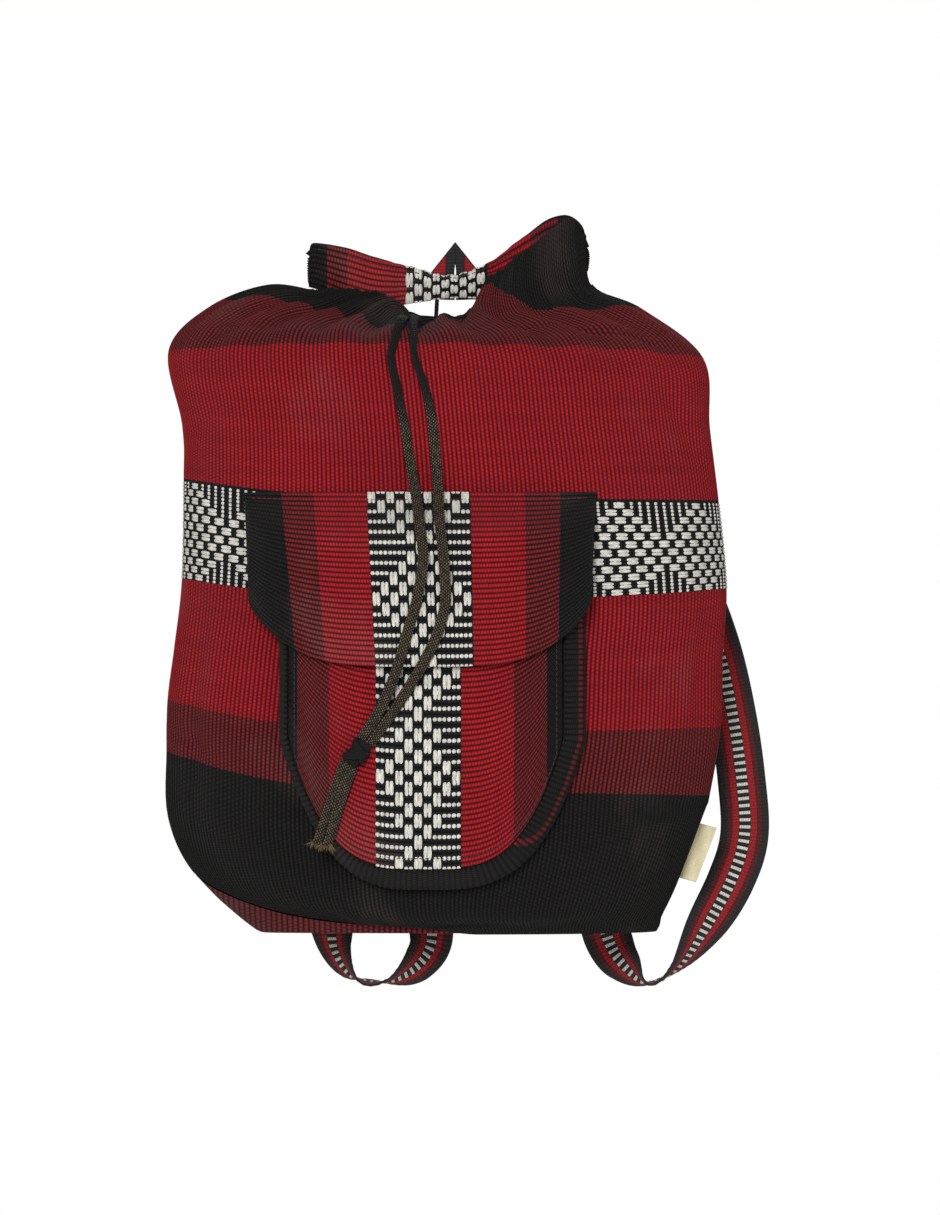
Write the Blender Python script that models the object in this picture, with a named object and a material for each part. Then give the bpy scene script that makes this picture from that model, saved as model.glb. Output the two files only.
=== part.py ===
"""A hand-woven striped cotton drawstring backpack, stuffed, hanging from its pointed loop.

Metres, +Z up. +X is the bag's right as seen from the front, the front faces -Y. Every piece is
modelled in bag coordinates, with height 0 at the base, and hangs from an empty that puts the point
where the hook bears at the world's origin.
"""

import math

import bmesh
import bpy
import numpy as np
from mathutils import Vector
from mathutils.bvhtree import BVHTree

# Driving dimensions of the bag
HALF_WIDTH = 0.188
BAG_DEPTH = 0.152
SHOULDER_HEIGHT = 0.4215
CLOTH = 0.0022
BASE_SHRINK = 0.985
BASE_BELLY = 0.02
SEAM_GAP = 0.0004
SIDE_SEAM_GAP = 0.0022
RING_POWER = 2.35
EAR_RISE = 0.036
EAR_CENTRE = 0.052
EAR_REACH = 0.027
GATHERS = 11
GATHER_DEPTH = 0.0032

# Rear casing of the mouth
CASING_THICKNESS = 0.0034
CASING_LEFT = -0.096
CASING_RIGHT = 0.0865
CASING_END_Y = -0.0233
CASING_BOW = 0.0123
CASING_GATHER = 0.0016
CASING_SAG_HEIGHT = 0.4300

# Pocket
POCKET_LEFT = -0.107
POCKET_RIGHT = 0.0695
POCKET_TOP = 0.252
POCKET_LENGTH = 0.208
POCKET_CORNER_DROP = 0.40
GUSSET_DEPTH = 0.026
GUSSET_FLARE = 0.015
GUSSET_BELLY = 0.003
GUSSET_FOOT_GAP = 0.0022
FLAP_SEAM_GAP = 0.0008
GUSSET_TOP_GAP = 0.0002
POCKET_BULGE = 0.012
POCKET_SWELL = 0.006
GUSSET_TOP_SHARE = 0.6
GUSSET_TAPER = 0.3
FLAP_LEFT = -0.137
FLAP_RIGHT = 0.092
FLAP_TOP = 0.285
FLAP_LENGTH = 0.112
FLAP_CORNER_DROP = 0.36
FLAP_CLEARANCE = 0.0035
FLAP_RISE = 0.034

# Webbing, loop and label
STRAP_WIDTH = 0.032
STRAP_THICKNESS = 0.0018
LOOP_WIDTH = 0.032
LOOP_SLOT = 0.006
LOOP_THICKNESS = 0.003
LOOP_LEG = 0.024
LOOP_POINT = 0.0115
LABEL_WIDTH = 0.011
LABEL_THICKNESS = 0.0007

# Drawcord
CORD_DIAMETER = 0.0046
CROSSING_DIAMETER = 0.0027
CORD_SPACING_IN_DIAMETERS = 2.4
KNOT_SIZE = (0.0150, 0.0120, 0.0172)
KNOT_WAIST = 0.12
KNOT_PLACE = (-0.0618, -0.1754, 0.1180)
KNOT_TILT = math.radians(38)

# Where the hook bears, in bag coordinates: the loop stands out above the casing's sag
HOOK_RISE = 0.0078
HOOK_HEIGHT = CASING_SAG_HEIGHT + HOOK_RISE
CASING_BACK_Y = CASING_END_Y + CASING_BOW + CASING_THICKNESS + CASING_GATHER
HOOK_Y = CASING_BACK_Y + SEAM_GAP + LOOP_THICKNESS / 2

# Cloth levels from the base edge to the rim. Each holds the left seam (x, height), the right seam
# (x, height), the front's middle (y, height) and the back's middle (y, height), as shares of
# HALF_WIDTH, BAG_DEPTH and SHOULDER_HEIGHT.
LEVELS = (
    ((-0.700, 0.010), (0.700, 0.010), (-0.645, 0.010), (-0.050, 0.010)),
    ((-0.905, 0.088), (0.766, 0.069), (-0.776, 0.028), (0.066, 0.033)),
    ((-0.995, 0.175), (0.864, 0.183), (-0.836, 0.119), (0.118, 0.119)),
    ((-1.000, 0.278), (0.883, 0.210), (-0.855, 0.218), (0.132, 0.225)),
    ((-0.997, 0.355), (0.920, 0.312), (-0.862, 0.308), (0.138, 0.315)),
    ((-0.973, 0.440), (0.928, 0.427), (-0.855, 0.408), (0.138, 0.415)),
    ((-0.947, 0.545), (0.942, 0.529), (-0.836, 0.512), (0.132, 0.520)),
    ((-0.941, 0.696), (0.915, 0.661), (-0.803, 0.662), (0.118, 0.665)),
    ((-0.947, 0.783), (0.883, 0.778), (-0.770, 0.771), (0.099, 0.780)),
    ((-0.995, 0.898), (0.862, 0.887), (-0.678, 0.904), (0.053, 0.880)),
    ((-0.856, 0.965), (0.665, 0.956), (-0.513, 0.934), (0.000, 0.904)),
    ((-0.657, 1.000), (0.516, 1.000), (-0.355, 0.944), (-0.040, 0.911)),
    ((-0.500, 0.994), (0.452, 1.079), (-0.276, 0.941), (-0.080, 0.900)),
)
BASE_EDGE, KNUCKLE, LOWER_BLACK, BLACK_BORDER, MIX_BORDER, MID_RED = range(6)
BAND_BOTTOM, BAND_TOP, UPPER_RED, UPPER_MIX, UPPER_BLACK, SHOULDER, RIM = range(6, 13)
# Rows of faces between one level and the next
FRONT_ROWS = (2, 2, 1, 1, 1, 1, 6, 1, 2, 2, 3, 3)
BACK_ROWS = (2, 1, 1, 1, 1, 1, 3, 1, 1, 2, 2)
SEAM_LEVELS = 0.04
FRONT_COLUMNS = 40
BACK_COLUMNS = 24

FRONT, BACK = -1, 1

# Linear colours of the yarns
COLOURS = {
    "black": (0.011, 0.009, 0.009),
    "dark_red": (0.050, 0.006, 0.008),
    "red": (0.270, 0.008, 0.011),
    "white": (0.780, 0.770, 0.700),
    "black_and_white": (0.210, 0.205, 0.190),
    "cord": (0.022, 0.014, 0.010),
    "bare_label": (0.640, 0.560, 0.360),
}


def clear_scene():
    for obj in list(bpy.data.objects):
        bpy.data.objects.remove(obj, do_unlink=True)


def material(name):
    """The one material of that yarn, made when first asked for."""
    found = bpy.data.materials.get(name)
    if found:
        return found
    made = bpy.data.materials.new(name)
    made.use_nodes = True
    shader = made.node_tree.nodes["Principled BSDF"]
    shader.inputs["Base Color"].default_value = (*COLOURS[name], 1.0)
    shader.inputs["Roughness"].default_value = 0.92
    shader.inputs["Metallic"].default_value = 0.0
    made.diffuse_color = (*COLOURS[name], 1.0)
    return made


def smoothstep(low, high, value):
    share = min(max((value - low) / (high - low), 0.0), 1.0)
    return share * share * (3 - 2 * share)


def through(points, at):
    """The smooth curve through the points, read at a place counted in points."""
    points = np.asarray(points, float)
    last = len(points) - 1
    at = min(max(at, 0.0), last)
    first = min(int(at), last - 1)
    share = at - first
    before, start = points[max(first - 1, 0)], points[first]
    end, after = points[first + 1], points[min(first + 2, last)]
    return 0.5 * (
        2 * start
        + (end - before) * share
        + (2 * before - 5 * start + 4 * end - after) * share**2
        + (3 * start - before - 3 * end + after) * share**3
    )


def ring(level, side):
    """Half a ring of cloth from the left seam to the right seam, and each point's way along it."""
    shares = through(np.array(LEVELS).reshape(len(LEVELS), 8), level)
    left_x, left_z, right_x, right_z, front_y, front_z, back_y, back_z = shares
    middle_y, middle_z = (front_y, front_z) if side == FRONT else (back_y, back_z)
    angle = np.linspace(0.0, math.pi, 121)
    across, out = -np.cos(angle), np.sin(angle)
    half = (right_x - left_x) / 2 * HALF_WIDTH
    centre = (right_x + left_x) / 2 * HALF_WIDTH
    seam_y = (0.45 * front_y + 0.55 * back_y) * BAG_DEPTH
    x = centre + half * np.sign(across) * np.abs(across) ** (2 / RING_POWER)
    y = seam_y + (middle_y * BAG_DEPTH - seam_y) * out ** (2 / RING_POWER)
    seam_z = np.where(across < 0, left_z, right_z)
    z = (across**2 * seam_z + out**2 * middle_z) * SHOULDER_HEIGHT
    if side == FRONT:
        ear = smoothstep(SHOULDER - 0.5, RIM, level) * EAR_RISE
        z = z + ear * np.exp(-(((x - EAR_CENTRE) / EAR_REACH) ** 2))
    steps = np.hypot(np.diff(x), np.diff(y))
    along = np.concatenate([[0.0], np.cumsum(steps)])
    return np.stack([x, y, z], axis=1), along


def cloth_point(level, share, side, inset=0.0):
    """A point of the bag's outer surface: share 0 is the left seam and 1 the right seam."""
    points, along = ring(level, side)
    reach = inset + (along[-1] - 2 * inset) * share
    return np.array([np.interp(reach, along, points[:, i]) for i in range(3)])


def base_seam(share):
    """The cloth level of the base panel's seam, which climbs round the lower left corner."""
    return KNUCKLE * max(0.0, 1 - share / 0.55) ** 1.3


def outward(points):
    """Unit normals of a grid of points whose columns run rightwards and rows upwards on the front."""
    along, up = np.gradient(points, axis=1), np.gradient(points, axis=0)
    normal = np.cross(along, up)
    return normal / np.linalg.norm(normal, axis=2, keepdims=True)


def panel_grid(side, columns, rows):
    """Points of the front or back panel, from the base seam to its top edge."""
    shares = np.linspace(0.0, 1.0, columns + 1)
    places = []
    for span, count in enumerate(rows):
        places += [span + step / count for step in range(count)]
    places.append(len(rows))
    top_of_seam = float(LOWER_BLACK)
    grid = []
    for place in places:
        row = []
        for share in shares:
            low = base_seam(share) + SEAM_LEVELS
            level = place if place >= top_of_seam else low + (top_of_seam - low) * place / top_of_seam
            row.append(cloth_point(level, share, side, SIDE_SEAM_GAP / 2))
        grid.append(row)
    return np.array(grid), np.array(places), shares


def gathered(grid, places, shares):
    """The grid pushed in and out in soft pleats that deepen towards the drawn mouth."""
    depth = GATHER_DEPTH * np.array([smoothstep(UPPER_RED, UPPER_BLACK, p) for p in places])
    depth = depth * np.array([1 - 0.7 * smoothstep(SHOULDER, RIM, p) for p in places])
    fade = np.sin(math.pi * shares) ** 0.5
    wave = np.cos(2 * math.pi * GATHERS * shares + 1.3 * np.sin(5 * shares)) * fade
    return grid + outward(grid) * depth[:, None, None] * wave[None, :, None]


def new_object(name, bm, materials, parent):
    mesh = bpy.data.meshes.new(name)
    bm.to_mesh(mesh)
    bm.free()
    for yarn in materials:
        mesh.materials.append(material(yarn))
    obj = bpy.data.objects.new(name, mesh)
    bpy.context.scene.collection.objects.link(obj)
    obj.parent = parent
    mesh.shade_smooth()
    return obj


def sheet(name, grid, thickness, yarns, colour_of, parent):
    """A grid of points made into cloth whose thickness lies behind its outer face."""
    rows, columns = grid.shape[:2]
    bm = bmesh.new()
    bmesh.ops.create_grid(bm, x_segments=columns - 1, y_segments=rows - 1, size=0.5)
    place = {}
    for vert in bm.verts:
        column = round((vert.co.x + 0.5) * (columns - 1))
        row = round((vert.co.y + 0.5) * (rows - 1))
        place[vert] = (row, column)
        vert.co = grid[row, column]
    for face in bm.faces:
        row = min(place[vert][0] for vert in face.verts)
        column = min(place[vert][1] for vert in face.verts)
        face.material_index = yarns.index(colour_of(row, column))
    obj = new_object(name, bm, yarns, parent)
    solid = obj.modifiers.new("Cloth thickness", "SOLIDIFY")
    solid.thickness = thickness
    solid.offset = -1
    solid.use_even_offset = False
    return obj


def band_yarn(along, across, period):
    """White where the diamonds' long floats lie, black and white between them."""
    diamond = abs((along / period) % 1.0 - 0.5) * 2
    return "white" if diamond + abs(across - 0.5) * 1.1 < 0.85 else "black_and_white"


def front_yarn(level, share):
    if level < BLACK_BORDER or level >= UPPER_BLACK:
        return "black"
    if level < MIX_BORDER or level >= UPPER_MIX:
        return "dark_red"
    if BAND_BOTTOM <= level < BAND_TOP:
        return band_yarn(share, level - BAND_BOTTOM, 0.16)
    return "red"


# The cloth's stripes across a piece that is 1 wide: where each ends, and its yarn
UPRIGHT_STRIPES = (
    (0.11, "black"),
    (0.20, "dark_red"),
    (0.35, "red"),
    (0.64, "band"),
    (0.79, "red"),
    (0.89, "dark_red"),
    (1.01, "black"),
)


def upright_yarn(share, down):
    yarn = next(yarn for end, yarn in UPRIGHT_STRIPES if share < end)
    if yarn == "band":
        return band_yarn(down, (share - 0.35) / 0.29, 0.62)
    return yarn


def make_front_panel(parent):
    yarns = ["black", "dark_red", "red", "white", "black_and_white"]
    grid, places, shares = panel_grid(FRONT, FRONT_COLUMNS, FRONT_ROWS)
    grid = gathered(grid, places, shares)
    middle = (shares[:-1] + shares[1:]) / 2

    def colour(row, column):
        return front_yarn((places[row] + places[row + 1]) / 2, middle[column])

    return sheet("front_panel", grid, CLOTH, yarns, colour, parent), grid


def make_back_panel(parent):
    yarns = ["black", "dark_red", "red", "white", "black_and_white"]
    grid, places, shares = panel_grid(BACK, BACK_COLUMNS, BACK_ROWS)
    grid = grid[:, ::-1]
    middle = ((shares[:-1] + shares[1:]) / 2)[::-1]

    def colour(row, column):
        return front_yarn((places[row] + places[row + 1]) / 2, middle[column])

    return sheet("back_panel", grid, CLOTH, yarns, colour, parent), grid


def make_base_panel(parent):
    """The base: a rim that climbs to the seam, the rounded edge, and the flat underside."""
    shares = np.linspace(0.0, 1.0, 33)
    loop = [(share, FRONT) for share in shares[:-1]] + [(share, BACK) for share in shares[:0:-1]]
    climb = np.array([base_seam(share) for share, _ in loop])[:, None]
    seam = np.array([cloth_point(base_seam(share), share, side) for share, side in loop])
    brim = np.array([cloth_point(BASE_EDGE, share, side) for share, side in loop]) * (1, 1, 0)
    centre = brim.mean(axis=0)
    edge = centre + (brim - centre) * BASE_SHRINK
    flat = centre + (brim - centre) * (BASE_SHRINK - 0.06)
    middle = (edge + seam) / 2 + climb * BASE_BELLY * (seam - centre)
    rows = [flat, edge, middle, seam]
    bm = bmesh.new()
    rings = [[bm.verts.new(p) for p in row] for row in rows]
    for low, high in zip(rings, rings[1:]):
        for i in range(len(loop)):
            after = (i + 1) % len(loop)
            bm.faces.new((low[i], low[after], high[after], high[i]))
    bm.faces.new(rings[0][::-1])
    bmesh.ops.recalc_face_normals(bm, faces=bm.faces)
    obj = new_object("base_panel", bm, ["dark_red"], parent)
    solid = obj.modifiers.new("Cloth thickness", "SOLIDIFY")
    solid.thickness = CLOTH
    solid.offset = -1
    solid.use_even_offset = False
    return obj


def make_rear_casing(parent):
    """The band of upright stripes that closes the mouth from ear to ear and sags between them."""
    shares = np.linspace(0.0, 1.0, 41)
    top = (0.0180, 0.0150, 0.0075, 0.0010, 0.0000, 0.0030, 0.0160, 0.0320, 0.0340)
    bottom = (-0.0090, -0.0170, -0.0240, -0.0260, -0.0180, -0.0200, -0.0230, -0.0150, -0.0010)
    grid = []
    for height in np.linspace(0.0, 1.0, 5):
        row = []
        for share in shares:
            x = CASING_LEFT + (CASING_RIGHT - CASING_LEFT) * share
            place = share * (len(top) - 1)
            low = through(np.array(bottom), place)
            high = through(np.array(top), place)
            middle = 1 - (2 * share - 1) ** 2
            pleat = math.cos(2 * math.pi * 9 * share) * middle * (0.5 + 0.5 * height)
            belly = math.sin(math.pi * height) * 0.002
            y = CASING_END_Y + CASING_BOW * middle + CASING_GATHER * pleat - belly
            row.append((x, y, CASING_SAG_HEIGHT + low + (high - low) * height))
        grid.append(row)
    yarns = ["black", "dark_red", "red", "white", "black_and_white"]

    def colour(row, column):
        return upright_yarn((column + 0.5) / (len(shares) - 1), row / 4)

    return sheet("rear_casing", np.array(grid), CASING_THICKNESS, yarns, colour, parent)


class Surface:
    """A panel's outer face, asked for its y at a given x and height."""

    def __init__(self, grid):
        rows, columns = grid.shape[:2]
        faces = []
        for r in range(rows - 1):
            for c in range(columns - 1):
                at = r * columns + c
                faces.append((at, at + 1, at + columns + 1, at + columns))
        self.tree = BVHTree.FromPolygons([Vector(p) for p in grid.reshape(-1, 3)], faces)

    def y(self, x, height, side):
        start, way = Vector((x, side, height)), Vector((0, -side, 0))
        hit = self.tree.ray_cast(start, way)[0]
        if hit is None:
            hit = self.tree.find_nearest(Vector((x, 0, height)))[0]
        return hit.y


def pocket_place(across, down):
    """x and height of a place on the pocket: across -1 to 1, down 0 at its top to 1 at its edge."""
    drop = POCKET_LENGTH * (1 - POCKET_CORNER_DROP * abs(across) ** 3.6)
    middle, half = (POCKET_LEFT + POCKET_RIGHT) / 2, (POCKET_RIGHT - POCKET_LEFT) / 2
    return middle + half * across, POCKET_TOP - drop * down


def pocket_reach(across, down):
    """How far the pocket's outer face stands from the bag."""
    taper = GUSSET_TOP_SHARE + (1 - GUSSET_TOP_SHARE) * smoothstep(0.0, GUSSET_TAPER, down)
    bulge = POCKET_BULGE + POCKET_SWELL * math.sin(math.pi * down)
    return GUSSET_DEPTH * taper + bulge * (1 - across * across)


def make_pocket_front(front, parent):
    columns, rows = 26, 12
    grid = []
    for down in np.linspace(1.0, 0.0, rows + 1):
        row = []
        for across in np.linspace(-1.0, 1.0, columns + 1):
            x, z = pocket_place(across, down)
            row.append((x, front.y(x, z, FRONT) - pocket_reach(across, down), z))
        grid.append(row)
    yarns = ["black", "dark_red", "red", "white", "black_and_white"]

    def colour(row, column):
        return upright_yarn((column + 0.5) / columns, (rows - row - 0.5) / rows * 1.9)

    return sheet("pocket_front", np.array(grid), CLOTH, yarns, colour, parent)


def gusset_path(count):
    """Places down the pocket's left edge, round its bottom and up its right edge."""
    side = [(-1.0, down) for down in np.linspace(0.0, 1.0, count, endpoint=False)]
    bottom = [(across, 1.0) for across in np.linspace(-1.0, 1.0, 2 * count + 1)]
    return side + bottom + [(1.0, down) for _, down in reversed(side)]


def make_pocket_gusset(front, parent):
    """The strip that joins the pocket's front to the bag, flared towards the bag."""
    path = gusset_path(8)
    edge = np.array([pocket_place(across, down) for across, down in path])
    way = np.gradient(edge, axis=0)
    way = way / np.linalg.norm(way, axis=1, keepdims=True)
    out = np.stack([way[:, 1], -way[:, 0]], axis=1)
    grid = []
    for rise in np.linspace(0.0, 1.0, 4):
        top_flare = CLOTH + GUSSET_TOP_GAP
        flare = GUSSET_FLARE * (1 - rise) + top_flare * rise + GUSSET_BELLY * math.sin(math.pi * rise)
        row = []
        for (across, down), start, side in zip(path, edge, out):
            x, z = start + side * flare
            top = pocket_reach(across, down) - CLOTH / 2
            reach = GUSSET_FOOT_GAP + (top - GUSSET_FOOT_GAP) * rise
            row.append((x, front.y(x, z, FRONT) - reach, z))
        grid.append(row)
    yarns = ["black", "dark_red"]

    def colour(row, column):
        return "dark_red" if row == 1 else "black"

    return sheet("pocket_gusset", np.array(grid), CLOTH, yarns, colour, parent)


def flap_lift(x, z, down):
    """How far the flap's outer face stands from the bag: flat at its seam, then over the pocket."""
    middle, half = (POCKET_LEFT + POCKET_RIGHT) / 2, (POCKET_RIGHT - POCKET_LEFT) / 2
    across = min(max((x - middle) / half, -1.0), 1.0)
    pocket_down = min(max((POCKET_TOP - z) / POCKET_LENGTH, 0.0), 1.0)
    beyond = max(POCKET_LEFT - x, x - POCKET_RIGHT, 0.0)
    spare = POCKET_LEFT - FLAP_LEFT if x < middle else FLAP_RIGHT - POCKET_RIGHT
    edge = max(1 - (beyond / spare) ** 2.2, 0.0) ** 0.5
    over = pocket_reach(across, pocket_down) + CLOTH + FLAP_CLEARANCE
    return CLOTH + FLAP_SEAM_GAP + over * edge * smoothstep(0.0, FLAP_RISE, down * FLAP_LENGTH)


def make_pocket_flap(front, parent):
    columns, rows = 26, 10
    middle, half = (FLAP_LEFT + FLAP_RIGHT) / 2, (FLAP_RIGHT - FLAP_LEFT) / 2
    grid = []
    for down in np.linspace(1.0, 0.0, rows + 1) ** 1.3:
        row = []
        for across in np.linspace(-1.0, 1.0, columns + 1):
            x = middle + half * across * (1 - 0.03 * down)
            z = FLAP_TOP - FLAP_LENGTH * (1 - FLAP_CORNER_DROP * abs(across) ** 4) * down
            row.append((x, front.y(x, z, FRONT) - flap_lift(x, z, down), z))
        grid.append(row)
    yarns = ["black", "dark_red", "red", "white", "black_and_white"]

    def colour(row, column):
        return upright_yarn((column + 0.5) / columns, (rows - row - 0.5) / rows)

    return sheet("pocket_flap", np.array(grid), CLOTH, yarns, colour, parent)


# Routes of the straps' middle lines. Against the back, y is the way from the panel; where the
# webbing hangs free it is the bag's own y. The last three numbers are the way its width points.
RIGHT_STRAP_ROUTE = (
    ("back", 0.0190, 0.0011, 0.366, (1, 0, 0)),
    ("back", 0.0260, 0.0030, 0.346, (1, 0, 0.4)),
    ("back", 0.0560, 0.0040, 0.318, (0.9, 0, 0.5)),
    ("back", 0.0960, 0.0040, 0.290, (0.8, 0, 0.6)),
    ("back", 0.1320, 0.0060, 0.258, (0.8, 0, 0.5)),
    ("free", 0.1570, 0.0120, 0.225, (1, 0.1, 0.3)),
    ("free", 0.1730, 0.0060, 0.185, (1, 0.2, 0.15)),
    ("free", 0.1830, 0.0010, 0.140, (1, 0.1, 0)),
    ("free", 0.1890, -0.0010, 0.098, (1, 0.1, 0)),
    ("free", 0.1910, 0.0000, 0.060, (1, 0, 0)),
    ("free", 0.1820, 0.0010, 0.030, (1, 0.1, 0.3)),
    ("free", 0.1650, 0.0030, -0.001, (1, 0.3, 0.5)),
    ("free", 0.1480, 0.0070, -0.026, (0.7, 0.8, 0.3)),
    ("free", 0.1290, 0.0100, -0.038, (0.0, 1, 0.0)),
    ("free", 0.1120, 0.0130, -0.026, (-0.7, 0.7, -0.5)),
    ("free", 0.1010, 0.0150, -0.008, (-1, 0.2, -0.5)),
    ("back", 0.0940, 0.0008, 0.020, (-1, 0, 0)),
)
LEFT_STRAP_ROUTE = (
    ("back", -0.0190, 0.0011, 0.366, (1, 0, 0)),
    ("back", -0.0270, 0.0034, 0.344, (1, 0, -0.4)),
    ("back", -0.0600, 0.0055, 0.305, (0.9, 0, -0.5)),
    ("back", -0.0980, 0.0065, 0.256, (1, 0, -0.3)),
    ("back", -0.1080, 0.0070, 0.200, (1, 0, 0.1)),
    ("back", -0.0900, 0.0050, 0.142, (1, 0, 0.4)),
    ("back", -0.0560, 0.0050, 0.086, (1, 0, 0.5)),
    ("back", -0.0280, 0.0060, 0.036, (1, 0.1, 0.3)),
    ("free", -0.0160, 0.0200, -0.004, (1, 0.4, -0.2)),
    ("free", -0.0240, 0.0170, -0.025, (0.7, 0.8, -0.6)),
    ("free", -0.0450, 0.0140, -0.037, (0.1, 1, -0.1)),
    ("free", -0.0660, 0.0140, -0.035, (-0.5, 1, 0.2)),
    ("free", -0.0800, 0.0150, -0.014, (-0.8, 0.7, 0.1)),
    ("back", -0.0830, 0.0018, 0.020, (-1, 0, 0)),
)
WEBBING_STRIPES = (
    (-0.5, "black"),
    (-0.34, "red"),
    (-0.12, "white"),
    (0.12, "red"),
    (0.34, "black"),
)


def laid_on_back(route, back):
    """The route's points and turns in bag coordinates, flat against the back where it lies there."""
    centres, turns = [], []
    for kind, x, y, height, (turn_x, turn_y, turn_z) in route:
        if kind == "back":
            slope = (back.y(x + 0.005, height, BACK) - back.y(x - 0.005, height, BACK)) / 0.01
            y += back.y(x, height, BACK) + STRAP_THICKNESS / 2
            turn_y += slope * turn_x
        centres.append((x, y, height))
        turns.append((turn_x, turn_y, turn_z))
    return np.array(centres), np.array(turns)


def webbing(name, route, back, parent):
    """Webbing that follows its route and turns as the route says, with stripes along both faces."""
    centres, turns = laid_on_back(route, back)
    count = 3 * (len(route) - 1) + 1
    places = np.linspace(0, len(route) - 1, count)
    middle = np.array([through(centres, place) for place in places])
    across = np.array([through(turns, place) for place in places])
    tangent = np.gradient(middle, axis=0)
    tangent /= np.linalg.norm(tangent, axis=1, keepdims=True)
    across -= tangent * np.sum(across * tangent, axis=1, keepdims=True)
    across /= np.linalg.norm(across, axis=1, keepdims=True)
    facing = np.cross(tangent, across)
    stops = [stop for stop, _ in WEBBING_STRIPES] + [0.5]
    half = STRAP_THICKNESS / 2
    section = [(stop * STRAP_WIDTH, half) for stop in stops]
    section += [(stop * STRAP_WIDTH, -half) for stop in reversed(stops)]
    bm = bmesh.new()
    rings = []
    for at, side, face in zip(middle, across, facing):
        rings.append([bm.verts.new(at + side * w + face * t) for w, t in section])
    names = [yarn for _, yarn in WEBBING_STRIPES]
    yarns = ["black", "red", "white"]
    faces_of = names + ["black"] + names[::-1] + ["black"]
    for near, far in zip(rings, rings[1:]):
        for i, yarn in enumerate(faces_of):
            after = (i + 1) % len(section)
            made = bm.faces.new((near[i], near[after], far[after], far[i]))
            made.material_index = yarns.index(yarn)
    bm.faces.new(rings[0])
    bm.faces.new(rings[-1])
    bmesh.ops.recalc_face_normals(bm, faces=bm.faces)
    return new_object(name, bm, yarns, parent)


def make_hang_loop(parent):
    """Webbing folded to a point, its two legs side by side with a slot for the hook between them."""
    wide, slot = LOOP_WIDTH / 2, LOOP_SLOT / 2
    outline = [
        (-wide, HOOK_HEIGHT - LOOP_LEG),
        (-wide, HOOK_HEIGHT - LOOP_LEG / 4),
        (0.0, HOOK_HEIGHT + LOOP_POINT),
        (wide, HOOK_HEIGHT - LOOP_LEG / 4),
        (wide, HOOK_HEIGHT - LOOP_LEG),
        (slot, HOOK_HEIGHT - LOOP_LEG),
        (slot, HOOK_HEIGHT - slot),
        (0.0, HOOK_HEIGHT),
        (-slot, HOOK_HEIGHT - slot),
        (-slot, HOOK_HEIGHT - LOOP_LEG),
    ]
    bm = bmesh.new()
    back = HOOK_Y + LOOP_THICKNESS / 2
    face = bm.faces.new([bm.verts.new((x, back, z)) for x, z in outline])
    made = bmesh.ops.extrude_face_region(bm, geom=[face])["geom"]
    moved = [item for item in made if isinstance(item, bmesh.types.BMVert)]
    bmesh.ops.translate(bm, verts=moved, vec=(0, -LOOP_THICKNESS, 0))
    bmesh.ops.recalc_face_normals(bm, faces=bm.faces)
    return new_object("hang_loop", bm, ["dark_red"], parent)


def make_side_label(parent):
    """A small bare tab caught in the right side seam."""
    rows = []
    for level in np.linspace(1.25, 1.80, 6):
        seam = cloth_point(level, 1.0, FRONT)
        rows.append([seam + (1.5 * SEAM_GAP, 0, 0), seam + (LABEL_WIDTH, 0, -0.003)])
    grid = np.array(rows)
    return sheet("side_label", grid, LABEL_THICKNESS, ["bare_label"], lambda *_: "bare_label", parent)


# Routes of the drawcord (x, y, height): two runs from the front rim to the knot, two tails from
# the knot to their ends, and the stretch across the mouth
CORD_ROUTES = {
    "drawcord_left": (
        (-0.0325, -0.0790, 0.3990),
        (-0.0351, -0.0930, 0.3960),
        (-0.0385, -0.1062, 0.3845),
        (-0.0410, -0.1112, 0.3720),
        (-0.0370, -0.1155, 0.3507),
        (-0.0325, -0.1197, 0.3273),
        (-0.0279, -0.1240, 0.2993),
        (-0.0245, -0.1365, 0.2800),
        (-0.0227, -0.1530, 0.2660),
        (-0.0201, -0.1705, 0.2415),
        (-0.0240, -0.1768, 0.2155),
        (-0.0290, -0.1818, 0.1980),
        (-0.0345, -0.1845, 0.1784),
        (-0.0410, -0.1805, 0.1600),
        (-0.0490, -0.1775, 0.1430),
        (-0.0592, -0.1748, 0.1268),
    ),
    "drawcord_right": (
        (-0.0262, -0.0725, 0.3995),
        (-0.0268, -0.0865, 0.3972),
        (-0.0268, -0.1012, 0.3872),
        (-0.0260, -0.1102, 0.3728),
        (-0.0188, -0.1153, 0.3507),
        (-0.0143, -0.1200, 0.3273),
        (-0.0117, -0.1242, 0.2993),
        (-0.0105, -0.1365, 0.2800),
        (-0.0097, -0.1532, 0.2660),
        (-0.0070, -0.1705, 0.2415),
        (-0.0058, -0.1768, 0.2155),
        (-0.0085, -0.1818, 0.2020),
        (-0.0130, -0.1858, 0.1888),
        (-0.0221, -0.1852, 0.1716),
        (-0.0310, -0.1795, 0.1570),
        (-0.0400, -0.1772, 0.1430),
        (-0.0542, -0.1750, 0.1236),
    ),
    "drawcord_tail_right": (
        (-0.0645, -0.1724, 0.1101),
        (-0.0700, -0.1700, 0.0960),
        (-0.0745, -0.1670, 0.0820),
        (-0.0790, -0.1625, 0.0665),
        (-0.0815, -0.1595, 0.0590),
    ),
    "drawcord_tail_left": (
        (-0.0695, -0.1717, 0.1134),
        (-0.0752, -0.1688, 0.0975),
        (-0.0800, -0.1652, 0.0830),
        (-0.0850, -0.1605, 0.0675),
        (-0.0878, -0.1580, 0.0600),
    ),
}
CROSSING_ROUTE = (
    (-0.0120, -0.0130, 0.4127),
    (-0.0122, -0.0205, 0.4078),
    (-0.0124, -0.0290, 0.4035),
    (-0.0126, -0.0375, 0.3990),
)


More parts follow.
